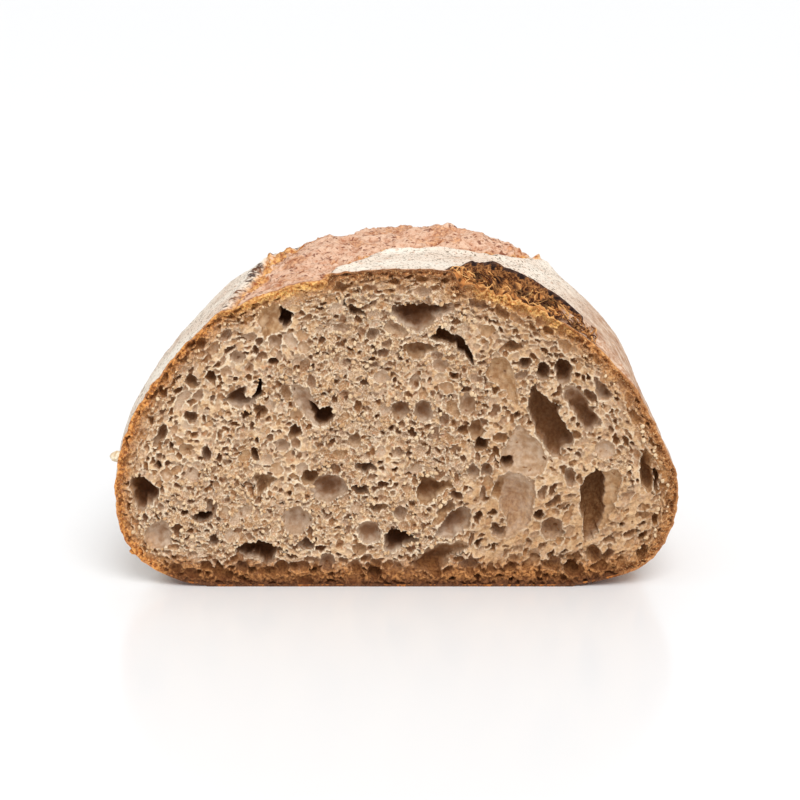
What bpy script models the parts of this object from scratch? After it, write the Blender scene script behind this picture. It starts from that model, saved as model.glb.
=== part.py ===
"""Half of a rustic wholemeal loaf, standing on its flat base with the cut face to the front.

X runs along the cut, Y from the cut towards the rounded end, Z up.  The origin is at the middle of
the bounding box's underside.  Sizes below are in millimetres.
"""
import math
import random

import bmesh
import bpy
from mathutils import Matrix, Vector, noise

MM = 0.001

# Whole form
HALF_LENGTH = 132.0       # from the cut to the tip of the rounded end
WAIST = 32.0              # height of the loaf's greatest width
PLAN_POWER = 2.2          # how square the rounded end is in plan
CROWN_POWER = 2.9         # how long the crown stays level before it falls away
BELLY_POWER = 5.0         # the same for the part below the waist
SWELL_LENGTH = 106.0      # the shoulders swell between the cut and this depth
SWELL_LEFT = 0.055
SWELL_RIGHT = 0.11
SEGMENTS = 80             # around the loaf
RINGS = 28                # from the cut to the rounded end
RING_PULL = 1.3           # rings stand closer near the cut

# Control points of the section at the cut, from one end of the flat base over the crown to the other
SECTION = [
    (-58, 0), (-70, 1.9), (-82.2, 8.5), (-88.9, 18), (-90.9, 29), (-89.4, 43), (-84, 58.5), (-72, 76),
    (-58, 90.5), (-45, 98.4), (-28, 103.6), (-10, 105.7), (10, 106.2), (28, 104), (46, 97.6), (61, 87.2),
    (73, 73.5), (82, 57), (90, 40), (90.8, 27), (86.3, 13), (76.8, 5.2), (62, 1.1), (52, 0),
]
BASE_SHARE = 0.3          # the flat base takes fewer segments for its length than the crust above it

# The long slash, seen from above as across and depth: it opened wide and its floor rose
LONG_SLASH = [
    (-62, -30), (-55.5, 0), (-50.5, 9), (-47.5, 25), (-44.5, 46), (-36, 72), (-18, 98), (6, 116), (28, 118),
    (44, 108), (57, 88), (57, 70), (49, 53), (40, 39), (31, 30), (17, 33), (-3, 31), (-9, 22), (-15, 12),
    (-21, 1), (-34, -30),
]
LONG_STEP = 1.5           # the floor of the slash lies this far below the skin's edge
LONG_BULGE = 3.5          # and rises this much again in its middle
LONG_CURL = 1.6           # height that the skin's edge curls up

# The short slash on the right shoulder, whose far end lies just behind the cut
SHORT_SLASH = [
    (16, -30), (17, 2.5), (23, 7), (30, 14), (37, 13), (46, 12), (55, 12), (62, 10), (68, 8), (73, 5), (78, 0),
    (84, -30),
]
SHORT_STEP = 4.1

# The ear: the blade of crust that stands up along the short slash, as across, depth and lean
EAR_LINE = [(15, 1.6), (20, 5.5), (26, 10), (31, 13.5), (37, 12.5), (46, 11.5), (55, 11), (62, 9)]
EAR_HEIGHT = 4.2
EAR_THICKNESS = 1.3
EAR_LEAN = 0.55           # how far the blade leans out over the slash, per unit of height

# The ragged edge of the skin on the left of the long slash
LIP_LINE = [(-55.3, 1.0), (-52, 7), (-49.5, 18), (-47.5, 30), (-45.5, 44), (-41, 58), (-33, 74)]
LIP_HEIGHT = 1.2
LIP_THICKNESS = 1.2

# Torn strands of crust under the ear: across, depth, length, turn in plan (degrees)
STRANDS = [
    (22, 3.5, 12, 48), (28, 7.5, 15, 15), (34, 5.0, 15, -14), (41, 7.5, 14, -3), (47, 4.5, 14, -30),
    (54, 6.0, 12, -8), (37, 10.5, 13, 20),
]
STRAND_RADIUS = 1.1
STRAND_LIFT = 1.2

# Crags on the floor of the long slash and on the skin beside it: across, depth, length, height
CRAGS = [
    (-43.5, 51, 7, 3.4), (27, 47, 10, 2.0), (35, 45, 12, 2.4), (42, 49, 9, 2.2), (17, 57, 13, 1.2),
    (-12, 62, 11, 1.0), (-20, 37, 10, 1.2),
]

# Loose bits that stuck to the crust's edge at the cut: across, depth, height above the base, size
STUCK_BITS = [(-88.4, 2.2, 43.5, 2.8), (-84.0, 1.8, 11.5, 2.8)]

# The large holes in the cut face: across, height above the base, width, height, depth, turn (degrees)
HOLES = [
    (-38.2, 89.0, 8.6, 13.5, 8.0, -20), (-13.9, 93.0, 10.5, 3.2, 6.0, -25), (5.0, 91.0, 13.0, 6.0, 6.5, 0),
    (16.4, 83.4, 11.5, 5.2, 9.0, -42), (21.6, 76.5, 4.6, 9.0, 7.5, -25), (8.0, 79.0, 9.5, 4.0, 5.0, 5),
    (34.0, 69.5, 9.6, 14.0, 4.5, -15), (48.5, 53.6, 11.5, 18.5, 12.0, -14), (58.2, 60.0, 10.2, 13.2, 10.0, -28),
    (-26.3, 61.5, 13.6, 9.2, 9.0, -38), (-49.7, 64.0, 9.6, 6.4, 6.5, 0), (-44.0, 66.0, 3.2, 6.8, 6.0, 15),
    (-21.4, 33.0, 11.0, 7.6, 5.0, 0), (-31.8, 22.2, 9.4, 8.0, 3.5, 20), (-80.2, 31.5, 7.0, 11.5, 6.0, -18),
    (-75.5, 17.3, 8.6, 8.0, 4.0, 30), (-43.2, 11.5, 16.0, 5.6, 7.5, 4), (-8.4, 18.6, 8.2, 6.2, 4.0, 0),
    (2.2, 14.8, 10.6, 7.2, 8.0, -8), (11.6, 33.0, 7.8, 7.8, 5.0, 25), (40.2, 46.4, 15.0, 12.0, 4.5, 15),
    (36.8, 25.6, 10.6, 18.5, 6.0, -12), (18.0, 20.8, 9.4, 8.6, 5.0, 30), (12.5, 9.2, 12.0, 7.6, 6.0, 20),
    (65.3, 26.6, 11.6, 22.0, 8.0, -8), (50.0, 19.0, 6.8, 7.4, 5.0, -30), (80.2, 38.8, 3.8, 12.5, 5.0, -12),
    (1.2, 63.0, 5.2, 6.4, 4.5, 0), (8.6, 62.6, 5.6, 6.2, 4.5, 0),
]

CRUST_COLOUR = (0.72, 0.50, 0.31, 1.0)
CRUMB_COLOUR = (0.52, 0.36, 0.22, 1.0)


def smoothstep(low, high, value):
    """Ramp from 0 at low to 1 at high, level at both ends."""
    share = min(1.0, max(0.0, (value - low) / (high - low)))
    return share * share * (3.0 - 2.0 * share)


def spline(points, steps):
    """Catmull-Rom curve through points, with its ends held straight."""
    first = [2 * a - b for a, b in zip(points[0], points[1])]
    last = [2 * a - b for a, b in zip(points[-1], points[-2])]
    line = [first, *points, last]
    out = []
    for i in range(1, len(line) - 2):
        a, b, c, d = (Vector(line[i + k]) for k in (-1, 0, 1, 2))
        for step in range(steps):
            t = step / steps
            out.append(0.5 * (2 * b + (c - a) * t + (2 * a - 5 * b + 4 * c - d) * t * t
                              + (3 * b - a - 3 * c + d) * t * t * t))
    out.append(Vector(points[-1]))
    return out


def section_table():
    """The closed section with each point's share of the way round, starting at the base's left end."""
    crust = spline(SECTION, 12)
    share = [0.0]
    for a, b in zip(crust, crust[1:]):
        share.append(share[-1] + (b - a).length)
    base_length = (crust[-1] - crust[0]).length * BASE_SHARE
    total = share[-1] + base_length
    crust.append(crust[0].copy())
    share.append(total)
    return crust, [value / total for value in share]


def section_point(table, share):
    """Point of the section at a share of the way round."""
    line, shares = table
    share %= 1.0
    low, high = 0, len(shares) - 1
    while high - low > 1:
        middle = (low + high) // 2
        if shares[middle] <= share:
            low = middle
        else:
            high = middle
    span = shares[high] - shares[low]
    return line[low].lerp(line[high], (share - shares[low]) / span)


def loaf_point(section, depth):
    """The section's point carried back to a depth, where the loaf has swelled or tapered."""
    way = min(1.0, abs(depth) / HALF_LENGTH)
    plan = (1.0 - way ** PLAN_POWER) ** (1.0 / PLAN_POWER)
    hump = math.sin(math.pi * min(1.0, abs(depth) / SWELL_LENGTH)) ** 2
    rise = section[1] - WAIST
    shoulder = min(1.0, max(0.0, rise / 70.0)) ** 1.6
    swell = SWELL_LEFT if section[0] < 0 else SWELL_RIGHT
    power = CROWN_POWER if rise > 0 else BELLY_POWER
    across = section[0] * plan * (1.0 + swell * hump * shoulder)
    height = WAIST + rise * (1.0 - way ** power) ** (1.0 / power)
    return Vector((across, depth, height))


def inside_depth(loop, x, y):
    """Distance to a closed outline in plan: positive inside it, negative outside."""
    nearest = 1e9
    inside = False
    for (ax, ay), (bx, by) in zip(loop, loop[1:] + loop[:1]):
        ex, ey = bx - ax, by - ay
        t = min(1.0, max(0.0, ((x - ax) * ex + (y - ay) * ey) / (ex * ex + ey * ey)))
        nearest = min(nearest, math.hypot(x - ax - t * ex, y - ay - t * ey))
        if (ay > y) != (by > y) and x < ax + (y - ay) * ex / ey:
            inside = not inside
    return nearest if inside else -nearest


def relief(point):
    """How far the crust stands out from the plain form at a point."""
    x, y, z = point
    back = smoothstep(0.0, 14.0, y)
    lumps = 1.1 * noise.noise(Vector((x, y, z)) / 38.0) + 0.5 * noise.noise(Vector((x, y, z)) / 15.0)
    upper = smoothstep(48.0, 62.0, z)
    ragged = 1.6 * noise.noise(Vector((x / 6.0, y / 6.0, 3.0)))
    long_in = inside_depth(LONG_SLASH, x, y) + ragged
    short_in = inside_depth(SHORT_SLASH, x, y) + 0.5 * ragged
    floor = smoothstep(-1.0, 2.5, long_in)
    bulge = smoothstep(2.0, 24.0, long_in) * smoothstep(5.0, 50.0, y)
    rough = 0.9 * noise.noise(Vector((x, y, z)) / 7.0)
    curl = LONG_CURL * math.exp(-((long_in + 2.5) / 2.6) ** 2) * smoothstep(2.0, 12.0, y)
    long_part = floor * (LONG_BULGE * bulge + rough - LONG_STEP) + curl
    short_part = -SHORT_STEP * smoothstep(-0.5, 4.5, short_in) * (1.0 - 0.55 * smoothstep(50.0, 74.0, x))
    foot = smoothstep(1.0, 12.0, z)
    return back * foot * lumps + upper * (long_part + short_part)


def crust_height(x, depth):
    """Height of the finished crust above a spot in plan, found along the section there."""
    table = section_table()
    best = None
    for step in range(400):
        spot = loaf_point(section_point(table, step / 400.0), depth)
        if spot.z > WAIST and (best is None or abs(spot.x - x) < abs(best.x - x)):
            best = spot
    return best.z + relief(best)


def material(name, colour, roughness):
    made = bpy.data.materials.new(name)
    made.use_nodes = True
    shader = made.node_tree.nodes["Principled BSDF"]
    shader.inputs["Base Color"].default_value = colour
    shader.inputs["Roughness"].default_value = roughness
    shader.inputs["Metallic"].default_value = 0.0
    made.diffuse_color = colour
    return made


def linked_object(name, bm, collection, materials):
    mesh = bpy.data.meshes.new(name)
    bm.to_mesh(mesh)
    bm.free()
    for each in materials:
        mesh.materials.append(each)
    made = bpy.data.objects.new(name, mesh)
    collection.objects.link(made)
    return made


def face_outward(bm):
    """Turn every face outward."""
    bmesh.ops.recalc_face_normals(bm, faces=bm.faces)
    if bm.calc_volume(signed=True) < 0:
        bmesh.ops.reverse_faces(bm, faces=bm.faces)
    bm.normal_update()


def shaped_body():
    """A ball drawn out into the whole loaf, then sliced through the middle."""
    table = section_table()
    bm = bmesh.new()
    bmesh.ops.create_uvsphere(bm, u_segments=SEGMENTS, v_segments=2 * RINGS, radius=1.0)
    for vert in bm.verts:
        lift = math.asin(max(-1.0, min(1.0, vert.co.z)))
        depth = math.copysign(HALF_LENGTH * abs(math.sin(lift)) ** RING_PULL, lift)
        if abs(lift) < 1e-4:
            depth = 0.0
        share = -math.atan2(vert.co.y, vert.co.x) / (2.0 * math.pi)
        vert.co = loaf_point(section_point(table, share), depth)
    face_outward(bm)
    moves = [(vert, vert.normal * relief(vert.co)) for vert in bm.verts]
    for vert, move in moves:
        if abs(vert.co.y) < 1e-6:
            move.y = 0.0
        vert.co += move
        if vert.co.z < 0.45:
            vert.co.z = 0.0
    sliced = bmesh.ops.bisect_plane(bm, geom=bm.verts[:] + bm.edges[:] + bm.faces[:], dist=1e-5,
                                    plane_co=(0, 0, 0), plane_no=(0, -1, 0), clear_outer=True)
    rim = [edge for edge in bm.edges if edge.is_boundary]
    cut = bmesh.ops.holes_fill(bm, edges=rim)["faces"]
    for face in cut:
        face.material_index = 1
    face_outward(bm)
    bmesh.ops.scale(bm, verts=bm.verts, vec=(MM, MM, MM))
    return bm


def blade(line, height, thickness, lean, seed, collection, skin, name):
    """A ragged blade of crust: a ball drawn out along a line in plan, thin and leaning."""
    rng = random.Random(seed)
    path = spline(line, 8)
    stations = 2 * len(line) + 6
    jag = [rng.uniform(0.55, 1.25) for _ in range(stations + 1)]
    bm = bmesh.new()
    bmesh.ops.create_uvsphere(bm, u_segments=8, v_segments=stations, radius=1.0)
    heights = [crust_height(spot[0], max(0.5, spot[1])) for spot in path]
    for vert in bm.verts:
        way = 0.5 + 0.5 * math.asin(max(-1.0, min(1.0, vert.co.z))) / (0.5 * math.pi)
        place = way * (len(path) - 1)
        low = min(len(path) - 2, int(place))
        spot = path[low].lerp(path[low + 1], place - low)
        ground = heights[low] + (heights[low + 1] - heights[low]) * (place - low)
        along = (path[low + 1] - path[low]).normalized()
        outward = Vector((along.y, -along.x))
        turn = math.atan2(vert.co.y, vert.co.x)
        size = math.sqrt(max(0.0, vert.co.x ** 2 + vert.co.y ** 2)) ** 0.6
        tall = height * jag[round(way * stations)] * size * math.sin(turn)
        side = thickness * size * math.cos(turn)
        if tall < 0:
            tall *= 0.9
        flat = spot + outward * (side + lean * tall - 0.6)
        vert.co = Vector((flat.x, max(0.35, flat.y), ground + 0.25 * height + tall))
    face_outward(bm)
    bmesh.ops.scale(bm, verts=bm.verts, vec=(MM, MM, MM))
    return linked_object(name, bm, collection, [skin])


def lump(centre, size, turn, seed, collection, skin, name, subdivisions=2, rough=0.22):
    """A rough stretched ball."""
    bm = bmesh.new()
    bmesh.ops.create_icosphere(bm, subdivisions=subdivisions, radius=1.0)
    for vert in bm.verts:
        vert.co *= 1.0 + rough * noise.noise(vert.co * 1.7 + Vector((seed * 3.1, seed * 1.7, seed * 0.9)))
    spin = Matrix.Rotation(math.radians(turn), 4, "Z")
    bmesh.ops.transform(bm, verts=bm.verts, matrix=spin @ Matrix.Diagonal((*size, 1.0)))
    bmesh.ops.translate(bm, verts=bm.verts, vec=centre)
    for vert in bm.verts:
        vert.co.y = max(0.3, vert.co.y)
    bmesh.ops.scale(bm, verts=bm.verts, vec=(MM, MM, MM))
    return linked_object(name, bm, collection, [skin])


def crust_bits(collection, skin):
    """Everything small that stands on the crust and is baked onto it."""
    blade(EAR_LINE, EAR_HEIGHT, EAR_THICKNESS, EAR_LEAN, 5, collection, skin, "ear")
    blade(LIP_LINE, LIP_HEIGHT, LIP_THICKNESS, 0.1, 8, collection, skin, "lip")
    for i, (x, depth, length, turn) in enumerate(STRANDS):
        ground = crust_height(x, depth)
        size = (length / 2.0, STRAND_RADIUS, STRAND_RADIUS * 1.3)
        lump((x, depth, ground + STRAND_LIFT * 0.5), size, turn, i, collection, skin, "strand_%d" % i, 2, 0.3)
    for i, (x, depth, length, height) in enumerate(CRAGS):
        ground = crust_height(x, depth)
        size = (length / 2.0, length / 3.0, height)
        lump((x, depth, ground - 0.2), size, 35 * i, i + 20, collection, skin, "crag_%d" % i, 2, 0.4)
    for i, (x, depth, height, size) in enumerate(STUCK_BITS):
        spread = (size * 0.7, size * 0.6, size)
        lump((x, depth, height), spread, 0, i + 50, collection, skin, "bit_%d" % i, 2, 0.4)


def hole_cutters(collection, crumb, shift):
    """One rough ball for each large hole, set a little behind the cut so that its mouth is narrower."""
    for i, (x, height, wide, tall, deep, turn) in enumerate(HOLES):
        bm = bmesh.new()
        fine = 3 if wide * tall > 125.0 else 2
        bmesh.ops.create_icosphere(bm, subdivisions=fine, radius=1.0)
        for vert in bm.verts:
            vert.co *= 1.0 + 0.3 * noise.noise(vert.co * 1.5 + Vector((i * 2.3, i * 4.1, 7.0)))
        size = Matrix.Diagonal((wide * 0.52, deep, tall * 0.52, 1.0))
        spin = Matrix.Rotation(math.radians(-turn), 4, "Y")
        bmesh.ops.transform(bm, verts=bm.verts, matrix=spin @ size)
        bmesh.ops.translate(bm, verts=bm.verts, vec=(x, 0.1 * deep, height))
        bmesh.ops.scale(bm, verts=bm.verts, vec=(MM, MM, MM))
        bmesh.ops.translate(bm, verts=bm.verts, vec=shift)
        cutter = linked_object("hole_%02d" % i, bm, collection, [crumb])
        cutter.display_type = "WIRE"
        cutter.hide_render = True


def add_boolean(target, collection, operation):
    joined = target.modifiers.new(operation.lower(), "BOOLEAN")
    joined.operation = operation
    joined.operand_type = "COLLECTION"
    joined.collection = collection
    joined.solver = "EXACT"
    joined.material_mode = "TRANSFER"
    return joined


def apply_modifiers(target):
    """Swap an object's mesh for the one that its modifiers make."""
    bpy.context.view_layer.update()
    graph = bpy.context.evaluated_depsgraph_get()
    mesh = bpy.data.meshes.new_from_object(target.evaluated_get(graph))
    target.modifiers.clear()
    target.data = mesh


def drop_scraps(target):
    """Remove whatever the union left loose beside the loaf."""
    bm = bmesh.new()
    bm.from_mesh(target.data)
    left = set(bm.verts)
    islands = []
    while left:
        reached = {left.pop()}
        front = list(reached)
        while front:
            vert = front.pop()
            for edge in vert.link_edges:
                other = edge.other_vert(vert)
                if other in left:
                    left.remove(other)
                    reached.add(other)
                    front.append(other)
        islands.append(reached)
    islands.sort(key=len)
    for island in islands[:-1]:
        bmesh.ops.delete(bm, geom=list(island), context="VERTS")
    bm.to_mesh(target.data)
    bm.free()
    return len(islands) - 1


def centre_on_base(target):
    """Bring the middle of the box's underside to the origin, and return the move."""
    corners = [vert.co for vert in target.data.vertices]
    low = Vector(min(co[i] for co in corners) for i in range(3))
    high = Vector(max(co[i] for co in corners) for i in range(3))
    shift = Vector((-(low.x + high.x) / 2.0, -(low.y + high.y) / 2.0, -low.z))
    target.data.transform(Matrix.Translation(shift))
    return shift


def main():
    for each in list(bpy.data.objects):
        bpy.data.objects.remove(each, do_unlink=True)
    parts = bpy.data.collections.new("half_wholemeal_loaf")
    bits = bpy.data.collections.new("crust_bits")
    cutters = bpy.data.collections.new("hole_cutters")
    for each in (parts, bits, cutters):
        bpy.context.scene.collection.children.link(each)
    crust = material("crust", CRUST_COLOUR, 0.8)
    crumb = material("crumb", CRUMB_COLOUR, 0.9)
    loaf = linked_object("half_loaf", shaped_body(), parts, [crust, crumb])
    crust_bits(bits, crust)
    add_boolean(loaf, bits, "UNION")
    apply_modifiers(loaf)
    print("scraps dropped:", drop_scraps(loaf))
    for each in list(bits.objects):
        bpy.data.objects.remove(each, do_unlink=True)
    bpy.data.collections.remove(bits)
    shift = centre_on_base(loaf)
    hole_cutters(cutters, crumb, shift)
    add_boolean(loaf, cutters, "DIFFERENCE")
    loaf.data.shade_smooth()
    loaf.data.set_sharp_from_angle(angle=math.radians(40))


main()
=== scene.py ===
"""Looks of the half wholemeal loaf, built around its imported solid.

Metres, +X along the cut, +Y from the cut towards the rounded end, +Z up.  The shapes are worked out in
millimetres, with y as the depth behind the cut.
"""
import math

import bmesh
import bpy
import numpy as np
from mathutils import Euler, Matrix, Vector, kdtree


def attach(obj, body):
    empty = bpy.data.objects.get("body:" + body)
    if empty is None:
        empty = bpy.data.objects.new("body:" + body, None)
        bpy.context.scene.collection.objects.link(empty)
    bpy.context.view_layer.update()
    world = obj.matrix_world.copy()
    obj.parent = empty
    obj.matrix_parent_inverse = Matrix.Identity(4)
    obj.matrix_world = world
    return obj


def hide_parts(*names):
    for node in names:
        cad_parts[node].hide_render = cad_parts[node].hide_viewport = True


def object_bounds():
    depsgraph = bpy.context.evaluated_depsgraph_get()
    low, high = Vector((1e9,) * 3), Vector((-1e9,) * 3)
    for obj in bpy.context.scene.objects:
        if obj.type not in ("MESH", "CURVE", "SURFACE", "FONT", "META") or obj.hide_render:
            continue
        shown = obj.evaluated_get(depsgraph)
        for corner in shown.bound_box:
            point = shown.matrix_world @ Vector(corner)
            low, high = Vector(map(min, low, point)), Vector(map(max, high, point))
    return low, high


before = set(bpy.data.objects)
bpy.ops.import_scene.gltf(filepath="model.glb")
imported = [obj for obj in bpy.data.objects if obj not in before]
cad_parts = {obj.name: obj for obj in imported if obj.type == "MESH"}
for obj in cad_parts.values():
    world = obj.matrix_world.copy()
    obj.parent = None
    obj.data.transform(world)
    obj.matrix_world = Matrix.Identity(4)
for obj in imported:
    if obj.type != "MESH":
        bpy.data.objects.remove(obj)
cad_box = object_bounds()
MM = 0.001
CUT_Y = cad_box[0][1] / MM        # the front plane of the solid


# THE CUT FACE.  Sourdough crumb of wholemeal flour, laid open by a knife: a foam of gas holes from
# pinpricks to finger-wide caves, torn and crumbly between them, and browning towards the crust.

HALF_LENGTH = 132.0
WAIST = 32.0
FACE_GRID = 0.3
SECTION_STEPS = 60        # from each point of the section to the next
SECTION = np.array([
    (-58, 0), (-70, 1.9), (-82.2, 8.5), (-88.9, 18), (-90.9, 29), (-89.4, 43), (-84, 58.5), (-72, 76),
    (-58, 90.5), (-45, 98.4), (-28, 103.6), (-10, 105.7), (10, 106.2), (28, 104), (46, 97.6), (61, 87.2),
    (73, 73.5), (82, 57), (90, 40), (90.8, 27), (86.3, 13), (76.8, 5.2), (62, 1.1), (52, 0)], float)
LONG_SLASH = [
    (-62, -30), (-55.5, 0), (-50.5, 9), (-47.5, 25), (-44.5, 46), (-36, 72), (-18, 98), (6, 116), (28, 118),
    (44, 108), (57, 88), (57, 70), (49, 53), (40, 39), (31, 30), (17, 33), (-3, 31), (-9, 22), (-15, 12),
    (-21, 1), (-34, -30)]
SHORT_SLASH = [
    (16, -30), (17, 2.5), (23, 7), (30, 14), (37, 13), (46, 12), (55, 12), (62, 10), (68, 8), (73, 5),
    (78, 0), (84, -30)]
# Knobs of crust on the floor of the long slash: across, depth, width, height
KNOBS = [
    (-42.0, 50, 2.4, 2.2), (-37, 57, 5, 1.6), (-31, 62, 6, 1.4), (-25, 67, 6, 1.0), (27, 47, 5, 1.6),
    (35, 45, 5, 2.0), (42, 49, 4, 1.9), (17, 57, 6, 1.0), (-12, 62, 5, 0.8), (-20, 37, 5, 1.0),
    (22, 43, 4, 1.2), (48, 54, 4, 1.6), (31, 39, 3, 1.2), (-33, 48, 4, 1.0)]
# The caves, each with its deepest place, its depth, how sheer its walls are, and its outline: across, height
CAVES = [
    (49, 54, 9, 0.3, [(42.9, 60), (43.6, 64.5), (44.6, 67), (46.9, 64.3), (51, 61.3), (52.9, 61.3),
     (52, 58.7), (54.5, 53.9), (57, 49.9), (54.5, 47.9), (51.6, 44.9), (48.4, 47.5), (45.5, 51.2),
     (43.6, 55.9)]),
    (61.5, 56.5, 7, 0.6, [(53.6, 66.2), (54.8, 67.3), (57.7, 67), (60.6, 64), (62.2, 60.7), (65.4, 57),
     (64.1, 54.9), (62.2, 52.9), (60, 54), (58.3, 57), (56.5, 61), (54, 64)]),
    (63.3, 29, 10, 0.3, [(61.2, 15.9), (60.6, 18.5), (60.9, 22.5), (60.3, 25.2), (59.9, 29.9), (60.3, 33.9),
     (63.1, 37.9), (65.1, 39.5), (66.8, 36), (67, 30), (66.8, 25), (65, 18.5)]),
    (68, 31, 3, 0.6, [(64, 39), (68, 38.8), (71.8, 38.2), (72, 33), (70.8, 28), (69, 24), (66.8, 20),
     (64.5, 22)]),
    (37, 30, 4.5, 0.6, [(31.5, 31), (32, 35), (34.5, 37.6), (39, 38.5), (43, 36), (44.4, 30), (43.6, 24),
     (40.5, 19.5), (35.8, 17.5), (35.6, 23), (34, 28)]),
    (32.8, 33, 5, 0.5, [(31.2, 30.5), (31.8, 34.5), (33.6, 36.6), (35.6, 35), (34.8, 30.5), (32.8, 29.4)]),
    (32.6, 19, 5, 0.5, [(30.4, 19.5), (31.5, 21.6), (34, 20.8), (36.4, 18.8), (34.5, 16.6), (32, 17)]),
    (40, 47, 3.2, 0.6, [(33.5, 40.5), (34, 45), (36.5, 50), (39.5, 54), (43, 52), (46.5, 47.5), (48.5, 42),
     (45.5, 38.5), (40, 38), (36, 38.5)]),
    (35.4, 42, 7, 0.7, [(33, 42), (34.2, 44.2), (36.4, 44), (37.8, 42), (36.8, 39.8), (34.4, 39.8)]),
    (30.8, 72.2, 3.4, 0.6, [(28.7, 72), (30.3, 75.9), (33.8, 77.5), (36.4, 75.3), (38, 69.3), (38.3, 62),
     (35.1, 66), (31.3, 69.3)]),
    (13.6, 84.6, 8, 0.25, [(11.3, 83.7), (12.6, 85.7), (14.5, 87), (18.9, 84.7), (20.5, 82), (18, 81.2),
     (15.8, 82.1), (13.2, 82.8)]),
    (22, 79.2, 8, 0.25, [(17, 84), (18.9, 84.7), (22.7, 81.1), (24.9, 77.8), (24.6, 74.9), (22.1, 77.8),
     (18.9, 80.8)]),
    (3, 91.8, 8, 0.6, [(-1.6, 92.6), (0.6, 94.2), (6.3, 94.3), (11.3, 94.5), (16.4, 95.2), (18.6, 94.2),
     (15.1, 91.6), (12.6, 89.6), (8.8, 87), (5.6, 86.3), (1.8, 87.6), (0, 90.3)]),
    (-1.5, 88.2, 3, 0.6, [(-3.5, 88.6), (-1.5, 90), (0.5, 87.8), (3.2, 85.6), (2.5, 84), (-1, 84.2),
     (-3.2, 86)]),
    (7, 79.6, 5, 0.5, [(2.5, 79.8), (3.7, 81.4), (7.5, 81.8), (12.6, 80.8), (13.2, 79.8), (10.1, 78.5),
     (6.5, 76.6), (5, 77.8)]),
    (-13, 92, 6, 0.5, [(-17.8, 95.9), (-15.3, 94.5), (-12.7, 93.6), (-8.9, 91.3), (-10.2, 90.8), (-14, 91.6),
     (-15.9, 93.6)]),
    (-39, 90, 3.6, 0.6, [(-43.4, 90), (-43, 92.3), (-40.8, 94.3), (-37.6, 94.6), (-35.7, 92.9), (-35.7, 87),
     (-40.8, 84.4), (-42, 82.4), (-42.4, 86.4)]),
    (-35.1, 91, 11, 0.3, [(-36.5, 93.4), (-34.7, 92.9), (-32.4, 91.2), (-35.4, 87.2), (-36.8, 89.5)]),
    (-28.5, 61.5, 4.2, 0.6, [(-33.1, 67.2), (-30.8, 67.9), (-27.7, 65.9), (-25.5, 62.5), (-23, 57),
     (-25.7, 55.4), (-28.3, 57.4), (-30.8, 60.6), (-32.7, 64)]),
    (-23, 57.8, 10, 0.4, [(-27.5, 63.5), (-26.3, 62), (-24.4, 60), (-21.9, 60.7), (-20.6, 60), (-20.6, 57),
     (-22.5, 55), (-25.7, 55.4), (-26.5, 58.5)]),
    (-50, 64, 7, 0.6, [(-55, 63), (-53.1, 65.3), (-49.9, 67.6), (-48, 67.2), (-47.4, 64.6), (-44.8, 63.3),
     (-46.1, 61.3), (-51.2, 61)]),
    (-44, 66.5, 9, 0.3, [(-45.8, 63.6), (-44.5, 67.2), (-43.3, 70.2), (-42.3, 68.5), (-42.9, 65.3),
     (-44.8, 63.3)]),
    (-44, 35, 5, 0.5, [(-46.5, 37.1), (-43.9, 38.1), (-39.4, 36.8), (-42, 34.4), (-44, 30), (-45, 33.7)]),
    (-82, 32, 9, 0.5, [(-84.9, 37.1), (-83.3, 37.9), (-80.4, 36.4), (-77.2, 33), (-77.5, 30.3), (-80.1, 28.9),
     (-81.4, 26.2), (-83.3, 25.5), (-84.6, 28.2), (-85.5, 34.4)]),
    (-44, 12, 9, 0.35, [(-52.1, 11.9), (-49.5, 14.2), (-45.6, 14.7), (-42.3, 15.1), (-39.1, 13.5),
     (-35.5, 11.9), (-38.4, 11.5), (-42.7, 8), (-45.6, 9.8), (-49.5, 10.2)]),
    (1.5, 17, 10, 0.5, [(-3.6, 16), (-2.6, 19), (-0.1, 19.5), (3.8, 18), (7.3, 16), (6.7, 14.9), (2.5, 13.9),
     (1.5, 12.5), (-2.4, 11.6)]),
    (9.2, 33, 6, 0.5, [(7.7, 37), (10.3, 37.4), (13.5, 35.2), (17, 35.6), (17.2, 33), (13.5, 31.6),
     (10.3, 28.9), (7.7, 29.6)]),
    (18.5, 22.5, 6, 0.6, [(12.9, 16.6), (16.8, 23.5), (20.6, 26.9), (23.2, 25.5), (23.5, 20.7),
     (19.3, 17.7)]),
    (11, 7.5, 6.5, 0.7, [(4.8, 6.4), (7.7, 10.5), (13.5, 13.9), (20.6, 15.1), (23.2, 12.5), (18, 10.5),
     (16.1, 7.8), (12.9, 5), (7.7, 5)]),
    (80.8, 36.5, 7, 0.6, [(80.1, 46.9), (82.4, 43.2), (83, 39.9), (82.4, 33.5), (80.4, 33.2), (79.2, 37.9),
     (79, 43.9)]),
    (84.3, 37, 7, 0.4, [(83.3, 40.5), (84.6, 39.9), (85.1, 37.2), (83.8, 32.5)]),
    (67.6, 65.4, 5, 0.7, [(63.9, 70.3), (66.4, 68.6), (69, 64), (64.5, 64)]),
    (22.6, 102.6, 5, 0.4, [(20.2, 102.8), (22, 103.6), (24.6, 103.2), (25.2, 102.2), (22.5, 101.7),
     (20.4, 101.9)]),
    (40, 97.6, 4, 0.5, [(38.4, 98.4), (40.5, 98.9), (41.8, 97.4), (40.2, 96.5), (38.6, 97)]),
    (48, 89.8, 5, 0.5, [(44.8, 90.4), (46.5, 91.6), (50.8, 90), (49, 88.4), (45.4, 88.2)]),
]
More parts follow.
